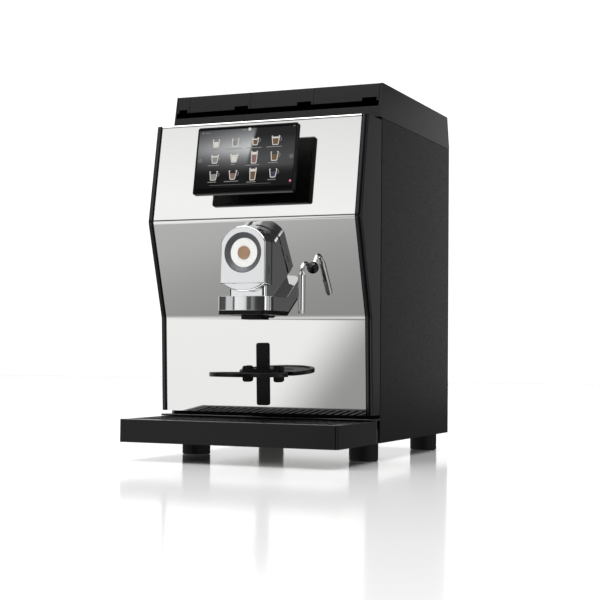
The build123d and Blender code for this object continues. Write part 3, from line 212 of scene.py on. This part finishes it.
# an upright strip at the front right, fill from either side, and a card low at the front right
strip = product(scale(to_left, -60, -57, 0.0, 1.6), scale(to_left, -38, -35, 1.0, 0.0),
                scale(rise, -9, -7, 0.0, 1.0), scale(rise, 7, 9, 1.0, 0.0))
right_fill = scale(combine("ABSOLUTE", combine("SUBTRACT", to_left, -98)), 26, 38, 0.5, 0.0)
left_fill = scale(combine("ABSOLUTE", combine("SUBTRACT", to_left, 134)), 30, 44, 0.6, 0.0)
low_card = product(scale(rise, -45, -35, 0.0, 0.11), scale(rise, -24, -14, 1.0, 0.0),
                   scale(to_left, -42, -30, 0.0, 1.0), scale(to_left, -14, -4, 1.0, 0.0))
for card in (*behind, strip, combine("ADD", right_fill, left_fill), low_card):
    light = combine("MAXIMUM", light, card)
background = add(sky, "ShaderNodeBackground", {"Color": linear("#FFFFFF")}, {"Strength": light})
add(sky, "ShaderNodeOutputWorld", links={"Surface": background.outputs["Background"]})

floor_half = 7.5
floor_corners = [(x * floor_half, y * floor_half, 0) for x, y in ((-1, -1), (1, -1), (1, 1), (-1, 1))]
floor_mesh = bpy.data.meshes.new("floor")
floor_mesh.from_pydata(floor_corners, [], [(0, 1, 2, 3)])
floor = bpy.data.objects.new("floor", floor_mesh)
floor.visible_glossy = False        # polished steel shows the studio's low cards instead
bpy.context.scene.collection.objects.link(floor)
floor_paint = bpy.data.materials.new("studio floor")
floor_paint.use_nodes = True
floor_shader = floor_paint.node_tree.nodes["Principled BSDF"]
floor_shader.inputs["Base Color"].default_value = linear("#F7F7F7")
floor_shader.inputs["Roughness"].default_value = 0.12
floor_shader.inputs["Specular IOR Level"].default_value = 0.4
floor_mesh.materials.append(floor_paint)


def soft_light(name, place, target, size, watts, mirrored=True):
    """A rectangular studio light that faces a point."""
    data = bpy.data.lights.new(name, "AREA")
    data.shape = "RECTANGLE"
    data.size, data.size_y = size
    data.energy = watts
    light = bpy.data.objects.new(name, data)
    light.location = place
    light.rotation_euler = (Vector(target) - Vector(place)).to_track_quat("-Z", "Y").to_euler()
    light.visible_glossy = mirrored
    bpy.context.scene.collection.objects.link(light)


soft_light("overhead", (0.0, -0.4, 2.6), (0, 0, 0.0), (3.6, 3.6), 104)
soft_light("left_front", (-1.9, -2.2, 1.5), (0, 0, 0.35), (1.2, 1.8), 22, False)
soft_light("right_rear", (0.42, 1.35, 0.5), (0.3, 0, 0.35), (0.34, 0.9), 0.8)


# ---- Cabinet: sides, back, bulkhead and connection box ------------------------------------------
# Folded steel sheet with a satin black polyester powder coat, which leaves a faint orange peel
# of about a millimetre and a soft, wide highlight. Pan-head screws hold the rear panel.
def new_material(name):
    """A fresh material, its surface shader and the Object coordinates."""
    material = bpy.data.materials.new(name)
    material.use_nodes = True
    place = add(material.node_tree, "ShaderNodeTexCoord").outputs["Object"]
    return material, material.node_tree.nodes["Principled BSDF"], place


def speckle(place, grain_mm, low, high):
    """Noise of one grain size in millimetres, mapped between two values."""
    noise = add(place.id_data, "ShaderNodeTexNoise", {"Scale": 1 / (grain_mm * MM), "Detail": 2.0},
                {"Vector": place})
    return scale(noise.outputs["Fac"], 0.3, 0.7, low, high, "LINEAR")


def plain(name, colour, second, metallic, rough, grain_mm, depth_mm, coat=0.0, level=0.5):
    """A material whose colour and roughness drift a little between two close values."""
    material, shader, place = new_material(name)
    shader.inputs["Metallic"].default_value = metallic
    shader.inputs["Coat Weight"].default_value = coat
    shader.inputs["Specular IOR Level"].default_value = level
    tree = place.id_data
    drift = add(tree, "ShaderNodeTexNoise", {"Scale": 1 / (grain_mm * 9 * MM), "Detail": 4.0},
                {"Vector": place})
    tint = add(tree, "ShaderNodeMix", {"data_type": "RGBA"}, {"Factor": drift.outputs["Fac"]})
    tint.inputs["A"].default_value = linear(colour)
    tint.inputs["B"].default_value = linear(second)
    wire(tint.outputs["Result"], shader, "Base Color")
    wire(speckle(place, grain_mm * 4, rough * 0.88, rough * 1.12), shader, "Roughness")
    if depth_mm:
        grain = add(tree, "ShaderNodeTexNoise", {"Scale": 1 / (grain_mm * MM), "Detail": 3.0},
                    {"Vector": place})
        bump = add(tree, "ShaderNodeBump", {"Distance": depth_mm * MM}, {"Height": grain.outputs["Fac"]})
        wire(bump.outputs["Normal"], shader, "Normal")
    return material


def made(name, points, faces, materials, body, nodes=(), crease=30, flats=True):
    """A finished piece from points in metres and faces: its materials, body and CAD nodes."""
    mesh = bpy.data.meshes.new(name)
    mesh.from_pydata(points, [], faces)
    for material in materials:
        mesh.materials.append(material)
    mesh.polygons.foreach_set("use_smooth", [True] * len(mesh.polygons))
    mesh.set_sharp_from_angle(angle=math.radians(crease))
    piece = bpy.data.objects.new(name, mesh)
    bpy.context.scene.collection.objects.link(piece)
    if flats:
        even = piece.modifiers.new("even_flats", "WEIGHTED_NORMAL")
        even.keep_sharp = True
        even.weight = 100
    if nodes:
        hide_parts(*nodes)
    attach(piece, body)
    return piece


weld_gap = 0.003 * MM


def shown(node, material):
    """A welded copy of a CAD piece, so that its rounded faces shade smoothly up to its edges."""
    source = pieces[node]
    welded = bmesh.new()
    welded.from_mesh(source.data)
    bmesh.ops.remove_doubles(welded, verts=welded.verts, dist=weld_gap)
    welded.verts.index_update()
    points = [v.co.copy() for v in welded.verts]
    corners = [[v.index for v in f.verts] for f in welded.faces]
    welded.free()
    return made(node + "_skin", points, corners, [material], source["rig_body"], [node])


powder_coat = plain("satin black powder coat", "#070708", "#090909", 0.0, 0.46, 0.9, 0.006, level=0.2)
for node in ("side_panel_left", "side_panel_right", "rear_panel", "connection_tray", "front_frame"):
    shown(node, powder_coat)


# ---- Moulded ABS: hood, lids, door moulding, rail and trays -------------------------------------
# Black ABS with a fine spark-eroded texture, a little glossier than the powder coat beside it.
# The hood and lids are injection moulded; the lids turn on one long rod at the back.
moulded_black = plain("fine-textured black ABS", "#070708", "#0A0A0A", 0.0, 0.34, 0.35, 0.003, level=0.22)
for node in ("hood", "lid_tablet", "lid_beans_left", "lid_beans_right", "lid_powder", "door_shell",
             "cup_rail", "cup_ring", "grounds_container", "display_arm", "brew_piston", "fan_housing",
             "fan_rotor", "power_inlet"):
    shown(node, moulded_black)
shown("drip_tray", plain("polished black ABS", "#070708", "#09090A", 0.0, 0.13, 0.5, 0.0, level=0.25))


# ---- Rubber: feet and the pads of the cup tray ---------------------------------------------------
# Moulded black rubber, matt, with a dusty bloom. Each foot is a ribbed disc with its threaded
# stud moulded in, and the cup tray's slide has a pad on each side.
rubber = plain("moulded black rubber", "#0C0C0C", "#121211", 0.0, 0.6, 0.5, 0.02, level=0.35)
for node in ("feet", "cup_carriage"):
    shown(node, rubber)


# ---- Door face ---------------------------------------------------------------------------------
# One sheet of mirror-polished stainless steel, bent at two heights, with its top edge folded
# forward into a bright lip. Its flats are true, so that they mirror the head and tray cleanly.
door_reach = [(41.5, 84.7), (49.6, 257.0), (104.3, 431.6), (72.8, 614.2)]
trim_width = 11.0
trim_gap = 0.5
sheet_thick = 1.5
lip_height = 4.2
lip_proud = 1.6
lip_steps = 12
bend_run = 5.0              # from a bend's corner to where the flat begins
bend_steps = 16
door_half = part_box("door_shell")[1].x / MM


def door_line(inset):
    """The door's face as (y, z) in millimetres, moved in by inset, with its two bends rounded."""
    outer = [(-y, z) for y, z in door_reach]
    runs = []
    for (y0, z0), (y1, z1) in zip(outer, outer[1:]):
        length = math.hypot(y1 - y0, z1 - z0)
        runs.append((y0 + inset * (z1 - z0) / length, z0 - inset * (y1 - y0) / length, (y1 - y0) / (z1 - z0)))
    corners = [(runs[0][0] + runs[0][2] * (outer[0][1] - runs[0][1]), outer[0][1])]
    for (ya, za, slope_a), (yb, zb, slope_b) in zip(runs, runs[1:]):
        z = (ya - yb - slope_a * za + slope_b * zb) / (slope_b - slope_a)
        corners.append((ya + slope_a * (z - za), z))
    corners.append((runs[2][0] + runs[2][2] * (outer[3][1] - runs[2][1]), outer[3][1]))
    line = [Vector(corners[0])]
    for before, corner, after in zip(corners, corners[1:], corners[2:]):
        corner = Vector(corner)
        start = corner + (Vector(before) - corner).normalized() * bend_run
        end = corner + (Vector(after) - corner).normalized() * bend_run
        for step in range(bend_steps + 1):
            t = step / bend_steps
            line.append(start * (1 - t) ** 2 + corner * 2 * t * (1 - t) + end * t ** 2)
    return line + [Vector(corners[-1])]


def placed(x, point):
    """A point in metres from x and a (y, z) measured from the cabinet's front edge."""
    return Vector((x * MM, cabinet_front + point.x * MM, point.y * MM))


def lofted(rings):
    """Points and outward faces of closed rings joined one to the next, with flat ends."""
    count = len(rings[0])
    points = [point for ring in rings for point in ring]
    faces = [tuple(range(count))[::-1], tuple(range(len(points) - count, len(points)))]
    for level in range(len(rings) - 1):
        base = level * count
        for index in range(count):
            after = (index + 1) % count
            faces.append((base + index, base + after, base + count + after, base + count + index))
    shell = bmesh.new()
    corners = [shell.verts.new(point) for point in points]
    for face in faces:
        shell.faces.new([corners[index] for index in face])
    bmesh.ops.recalc_face_normals(shell, faces=shell.faces)
    shell.verts.index_update()
    faces = [[v.index for v in f.verts] for f in shell.faces]
    shell.free()
    return points, faces


# mirror steel: a clean reflection that softens only slightly from one place to another
mirror_steel, shader, place = new_material("mirror-polished stainless steel")
shader.inputs["Metallic"].default_value = 1.0
shader.inputs["Base Color"].default_value = linear("#F1F1EF")
wire(speckle(place, 60, 0.02, 0.045), shader, "Roughness")
outer, inner = door_line(0), door_line(sheet_thick)
along = (outer[-1] - outer[-2]).normalized()
out = Vector((-along.y, along.x))
lip_foot = outer[-1] - along * lip_height
lip_turns = [math.pi * step / lip_steps for step in range(lip_steps + 1)]
lip = [lip_foot + along * lip_height * (1 - math.cos(turn)) / 2 + out * lip_proud * math.sin(turn)
       for turn in lip_turns]
section = outer[:-1] + lip + inner[::-1]
sheet_half = door_half - trim_width - trim_gap
points, faces = lofted([[placed(x, point) for point in section] for x in (-sheet_half, sheet_half)])
made("front_sheet_polished", points, faces, [mirror_steel], "door", ["front_sheet"], crease=1, flats=False)


# ---- Side trims and sill -------------------------------------------------------------------------
# Extruded aluminium strips with a rounded nose, bent to the door's line, anodised dark and
# polished. The sill is a plain folded strip of the same finish under the door.
# dark anodising over a polish: a metal that shows dark, with a fairly sharp light line
dark_trim = plain("dark polished anodised trim", "#3A3A3C", "#424244", 1.0, 0.18, 0.4, 0.0)
# the strip's section, as distance out from the sheet's edge and depth behind the door's face
nose = [(0.0, 6.6), (0.0, 1.2), (0.25, 0.1), (0.9, -0.7), (2.0, -1.15), (3.8, -1.4), (6.2, -1.4),
        (8.2, -1.05), (9.6, -0.35), (10.5, 0.7), (11.0, 2.2), (11.0, 6.6)]
for side, node in ((-1, "trim_left"), (1, "trim_right")):
    runs = [[placed(side * (door_half - trim_width + across), point) for point in door_line(depth)]
            for across, depth in nose]
    points, faces = lofted(list(zip(*runs)))
    made(node + "_strip", points, faces, [dark_trim], "door", [node], crease=42)
shown("sill", dark_trim)


# ---- Outlet head ---------------------------------------------------------------------------------
# Zinc die castings, polished and chromed: an arched face plate, the housing behind it and a
# bowed collar below. The badge is a painted cone, a white disc and a copper boss.
# chrome: near-white metal with an almost perfect mirror, so it shows the studio's bands
chrome = plain("bright chrome plate", "#EDEEEF", "#E6E7E8", 1.0, 0.035, 0.5, 0.0)
shown("outlet_housing", chrome)
face_plate = shown("outlet_plate", chrome)
edge_round = face_plate.modifiers.new("rounded_edge", "BEVEL")
edge_round.width = 1.3 * MM
edge_round.segments = 4
edge_round.angle_limit = math.radians(50)
face_plate.modifiers.move(1, 0)

collar_low, collar_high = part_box("outlet_collar")
collar_half = collar_high.x / MM
collar_front, collar_back = [(y - cabinet_front) / MM for y in (collar_low.y, collar_high.y)]
collar_corner = 20.0        # how far back each front corner reaches
bow = 3.2                   # how far the middle of the front stands forward of the corners
rim_round = 1.0
front_half = collar_half - collar_corner * 0.75
corner_steps = 8
bow_steps = 24


def collar_plan(inset):
    """Outline of the collar in plan: straight sides, wide corners and a bowed front."""
    side = [(-collar_half + inset, collar_back)]
    corner_wide = collar_half - front_half - inset * 0.5
    for step in range(corner_steps + 1):
        turn = math.pi / 2 * step / corner_steps
        side.append((-front_half + inset * 0.5 - corner_wide * math.cos(turn),
                     collar_front + bow + inset + collar_corner * (1 - math.sin(turn))))
    front = []
    for step in range(1, bow_steps):
        across = -1 + step * 2 / bow_steps
        front.append((front_half * across, collar_front + bow + inset - bow * (1 - across ** 2)))
    return side + front + [(-x, y) for x, y in reversed(side)]


rings = []
top_gap = 0.001             # of the last ring under the collar's top
for height, inset in ((0, rim_round), (rim_round * 0.3, rim_round * 0.3), (rim_round, 0), (-rim_round, 0),
                      (-rim_round * 0.3, rim_round * 0.3), (-top_gap, rim_round)):
    z = collar_low.z / MM + height if height >= 0 else collar_high.z / MM + height
    rings.append([placed(x, Vector((y, z))) for x, y in collar_plan(inset)])
points, faces = lofted(rings)
made("outlet_collar_bowed", points, faces, [chrome], "door", ["outlet_collar"], crease=34)


def turned(profile, centre, steps=64):
    """A turned shape about an axis along Y: (radius, y) in millimetres from its centre."""
    angles = [math.tau * step / steps for step in range(steps)]
    return lofted([[centre + Vector((radius * math.cos(angle), y, radius * math.sin(angle))) * MM
                    for angle in angles] for radius, y in profile])


# grey lacquer with a slight metallic sheen, plain white enamel, and copper dulled by its lacquer
shown("badge_ring", plain("dark grey badge lacquer", "#55565A", "#5E5F62", 0.3, 0.34, 0.3, 0.0))
shown("badge_disc", plain("white badge enamel", "#E2E2DF", "#E8E8E5", 0.0, 0.3, 0.3, 0.0))
copper = plain("lacquered copper", "#A5836A", "#B08E74", 0.4, 0.38, 0.4, 0.0)
ring_low, ring_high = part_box("badge_ring")
badge = (ring_low + ring_high) / 2
badge.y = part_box("badge_disc")[0].y
points, faces = turned([(11.8, 0.9), (11.8, -0.5), (11.4, -0.9), (10.6, -1.0), (9.8, -0.7), (9.0, -0.55),
                        (0.4, -0.55)], badge)
made("badge_boss", points, faces, [copper], "door", crease=50)
shown("spout_block", moulded_black)


# ---- Steam wand ----------------------------------------------------------------------------------
# A glossy black ball in a hidden seat, a chromed bent tube and a polished steel sleeve with a
# small tip. The ball and its seat are moulded; the tube is pressed into the ball.
# unpainted gloss moulding: a deep black with small sharp highlights
gloss_black = plain("gloss black moulding", "#050506", "#080809", 0.0, 0.14, 0.3, 0.0)
shown("wand_ball", gloss_black)
shown("wand_tube", chrome)
shown("wand_sleeve", mirror_steel)
shown("power_rocker", gloss_black)


# ---- Screen --------------------------------------------------------------------------------------
# A thin black housing with a flush touch glass, bonded and anti-reflection coated. The lit
# picture behind it is dark, with cup symbols and plain caption bars; the glass glows with a painted
# reflection, lighter at the upper left.
shown("display_housing", moulded_black)
glass_low, glass_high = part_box("display_glass")
glass_centre = (glass_low + glass_high) / 2
(bend_y, bend_z), (top_y, top_z) = door_reach[2:]
lean = math.atan2(bend_y - top_y, top_z - bend_z)
glass_out = Vector((0, -math.cos(lean), math.sin(lean)))
glass_up = Vector((0, math.sin(lean), math.cos(lean)))
glass_half_thick = 0.9
glass_face = glass_centre + glass_out * glass_half_thick * MM

# touch glass: near black, and its coating leaves almost no reflection; the glare on it is a painted
# reflection in its glow below
glass, shader, place = new_material("coated black touch glass")
shader.inputs["Base Color"].default_value = linear("#030304")
shader.inputs["Roughness"].default_value = 0.06
shader.inputs["Specular IOR Level"].default_value = 0.04

# the painted reflection glowing in the glass, from millimetres across and up from the middle of the glass:
# bright left of a slanting edge, most of all a little above the middle, and faint right of it
spot = add(place.id_data, "ShaderNodeSeparateXYZ", links={0: place}).outputs
across = combine("MULTIPLY", spot["X"], 1 / MM)
up = combine("MULTIPLY", combine("SUBTRACT", spot["Z"], glass_centre.z), 1 / MM / math.cos(lean))
past_glare_edge = combine("SUBTRACT", across, combine("ADD", combine("MULTIPLY", up, 0.2), 5.0))
beyond_glare_edge = scale(past_glare_edge, -2.0, 4.0, 0.0, 1.0, "LINEAR")
# painted reflection, bright part left of the slanting edge
bright = graded(up, [(-62.5, 0.0), (-51.5, 0.0), (-50.5, 0.009), (-30, 0.013), (-24, 0.022), (-18, 0.05),
                     (-12, 0.09), (-6, 0.14), (0, 0.22), (6, 0.33), (12, 0.48), (18, 0.57), (24, 0.58),
                     (30, 0.5), (36, 0.4), (42, 0.31), (48, 0.24), (56.5, 0.15), (57.5, 0.0), (62.5, 0.0)])
# painted reflection, faint part right of the slanting edge
faint = graded(up, [(-62.5, 0.0), (-51.5, 0.0), (-50.5, 0.008), (-30, 0.01), (-24, 0.019), (-18, 0.04),
                    (-12, 0.07), (0, 0.075), (12, 0.062), (24, 0.05), (42, 0.02), (56.5, 0.018),
                    (57.5, 0.0), (62.5, 0.0)])
to_right = scale(across, -95.0, 10.0, 0.4, 1.0, "LINEAR")
inside = scale(combine("ABSOLUTE", across), 94.5, 95.5, 1.0, 0.0, "LINEAR")
# the painted reflection is the glass's emission
wire(product(blend(product(bright, to_right), faint, beyond_glare_edge), inside), shader, "Emission Strength")
shader.inputs["Emission Color"].default_value = linear("#F4F6F8")
shown("display_glass", glass)


def lit(name, colour, strength):
    """A lit part of the picture: black where unlit, with its own colour and brightness."""
    material, shader, place = new_material(name)
    shader.inputs["Base Color"].default_value = linear("#050505")
    shader.inputs["Emission Color"].default_value = linear(colour)
    wire(speckle(place, 3.0, strength * 0.93, strength * 1.07), shader, "Emission Strength")
    shader.inputs["Specular IOR Level"].default_value = 0.1
    return material


lights = [lit("lit white symbols", "#F5F1EA", 0.72), lit("lit coffee brown", "#8A6A4C", 0.6),
          lit("lit milk rose", "#B58F88", 0.5), lit("lit water blue", "#4B4F6C", 0.6),
          lit("lit caption grey", "#BDBBB8", 0.5), lit("lit red dot", "#C9566C", 0.9)]
WHITE, BROWN, ROSE, BLUE, GREY, RED = range(6)
ink_proud = 0.08            # of the lit patches in front of the glass
symbol_points, symbol_faces, symbol_inks = [], [], []


def ink(corners, colour):
    """A flat patch of the picture from (across, up) corners in millimetres."""
    base = len(symbol_points)
    for u, v in corners:
        symbol_points.append(glass_face + (Vector((u, 0, 0)) + glass_up * v + glass_out * ink_proud) * MM)
    symbol_faces.append(tuple(range(base, base + len(corners))))
    symbol_inks.append(colour)


def stroke(path, width, colour):
    """A line of one width along (across, up) points."""
    for (u0, v0), (u1, v1) in zip(path, path[1:]):
        length = math.hypot(u1 - u0, v1 - v0)
        du, dv = -(v1 - v0) / length * width / 2, (u1 - u0) / length * width / 2
        ink([(u0 - du, v0 - dv), (u1 - du, v1 - dv), (u1 + du, v1 + dv), (u0 + du, v0 + dv)], colour)


def round_path(u, v, radius, start, end, steps):
    """Points along an arc between two angles in degrees."""
    turns = [math.radians(start + (end - start) * step / steps) for step in range(steps + 1)]
    return [(u + radius * math.cos(turn), v + radius * math.sin(turn)) for turn in turns]


wall_line = 1.5             # of a cup symbol
rim_line = 1.3
handle_line = 0.9


def cup(u, v, top, foot, height, fill, froth, handle):
    """A glass cup symbol: its outline, what is in it, its froth and its handle."""
    half, base, wide = height / 2, foot / 2, top / 2
    level = half - height * 0.3
    mid = base + (wide - base) * (level + half) / height
    ink([(u - base + 0.9, v - half + 1.2), (u + base - 0.9, v - half + 1.2), (u + mid - 1.1, v + level),
         (u - mid + 1.1, v + level)], fill)
    if froth:
        ink([(u - mid + 1.0, v + level + 0.2), (u + mid - 1.0, v + level + 0.2),
             (u + wide - 1.2, v + half - 1.6), (u - wide + 1.2, v + half - 1.6)], WHITE)
    stroke([(u - wide, v + half), (u - base, v - half), (u + base, v - half), (u + wide, v + half)],
           wall_line, WHITE)
    for side in (-1, 1):
        stroke([(u + side * wide, v + half), (u + side * (wide - 2.2), v + half - 0.6)], rim_line, WHITE)
    if handle:
        stroke(round_path(u + wide + 0.8, v + half * 0.25, 3.1, -105, 115, 9), handle_line, GREY)


columns, rows = (-60.0, -21.7, 17.7, 57.0), (31.7, 2.5, -28.5)
tall = 20                   # cups higher than this have their caption lower down
# for each cup: width at top and foot, height, what is in it, froth, handle and caption length
menu = [(13, 9, 14, WHITE, 0, 1, 15), (13, 9, 14, GREY, 0, 1, 32), (12, 8, 13, BROWN, 1, 1, 30),
        (15, 10, 16, BROWN, 1, 1, 30), (14, 9, 15, GREY, 1, 1, 22), (15, 9, 15, WHITE, 1, 0, 8),
        (12, 9, 22, ROSE, 1, 0, 26), (14, 10, 16, BROWN, 0, 1, 19), (15, 10, 16, GREY, 0, 1, 17),
        (15, 9, 16, ROSE, 0, 1, 28), (13, 9, 22, BROWN, 1, 0, 18), (14, 9, 15, BLUE, 0, 1, 16)]
for index, (top, foot, height, fill, froth, handle, caption) in enumerate(menu):
    u, v = columns[index % 4], rows[index // 4]
    cup(u, v, top, foot, height, fill, froth, handle)
    drop = 14.5 if height > tall else 11.8
    stroke([(u - caption / 2 - 2, v - drop), (u + caption / 2 - 2, v - drop)], 1.3, GREY)
# arrows at the sides, status marks along the top, a service dot and a rule at the foot
for side in (-1, 1):
    stroke(round_path(side * 89.6, 1.0, 3.3, 0, 360, 20), 0.8, GREY)
    stroke([(side * 88.6, 2.6), (side * 90.4, 1.0), (side * 88.6, -0.6)], 0.8, GREY)
ink(round_path(-88, 52, 1.6, 0, 330, 11), GREY)
stroke([(-84, 52), (-73, 52)], 1.0, GREY)
stroke([(-11, 54.5), (-1, 54.5)], 1.6, GREY)
ink(round_path(4.5, 55, 2.9, 0, 345, 15), WHITE)
stroke([(89, 57.5), (91, 55.5), (93, 57.5)], 0.8, GREY)
ink(round_path(91, -44, 2.4, 0, 345, 15), RED)
ink(round_path(91, -43.6, 1.2, 0, 330, 11), WHITE)
stroke([(-66, -46.5), (54, -46.5)], 0.35, GREY)
symbols = made("screen_symbols", symbol_points, symbol_faces, lights, "screen",
               flats=False)
symbols.data.polygons.foreach_set("material_index", symbol_inks)


# ---- Drip grid -----------------------------------------------------------------------------------
# Punched steel plate with a matt black enamel, laid loose on the ledge of the drip tray.
grid_enamel = plain("matt black enamelled steel", "#0A0A0B", "#0E0E0E", 0.0, 0.55, 0.5, 0.004, level=0.25)
shown("drip_grid", grid_enamel)


# ---- Working parts inside ------------------------------------------------------------------------
# Brushed steel frames and boilers, cast grinders, brass pump, white acetal and a green board.
# brushed steel: a light grey metal with a broad, soft highlight
brushed_steel = plain("brushed stainless steel", "#B4B4B1", "#C2C2BF", 1.0, 0.3, 0.4, 0.004)
for node in ("base_frame", "rear_screws", "door_hinge_pins", "lid_hinge_rod", "burr_left", "burr_right",
             "brew_frame", "brew_spindle", "steam_boiler", "coffee_boiler"):
    shown(node, brushed_steel)
# sand casting: a dull grey metal with a coarse skin
cast_metal = plain("sand-cast aluminium", "#9FA0A0", "#ADADAC", 1.0, 0.5, 1.2, 0.05)
for node in ("grinder_left", "grinder_right"):
    shown(node, cast_metal)
# machined brass: a yellow metal with a fairly sharp highlight
brass = plain("machined brass", "#C7A252", "#D1AE62", 1.0, 0.25, 0.4, 0.0)
for node in ("pump", "water_inlet"):
    shown(node, brass)
# smoked polycarbonate: dark brown and glossy, drawn opaque
smoked = plain("smoked clear polycarbonate", "#2A211B", "#30271F", 0.0, 0.1, 0.5, 0.0, coat=0.5)
for node in ("bean_hopper_left", "bean_hopper_right", "powder_canister"):
    shown(node, smoked)
# acetal: an off-white plastic with a soft sheen
acetal = plain("white acetal", "#D6D5CF", "#DEDDD8", 0.0, 0.35, 0.4, 0.002)
for node in ("powder_auger", "mixing_bowl", "brew_cylinder"):
    shown(node, acetal)
shown("control_board", plain("green solder resist", "#0F4B2C", "#125534", 0.0, 0.3, 0.6, 0.004))
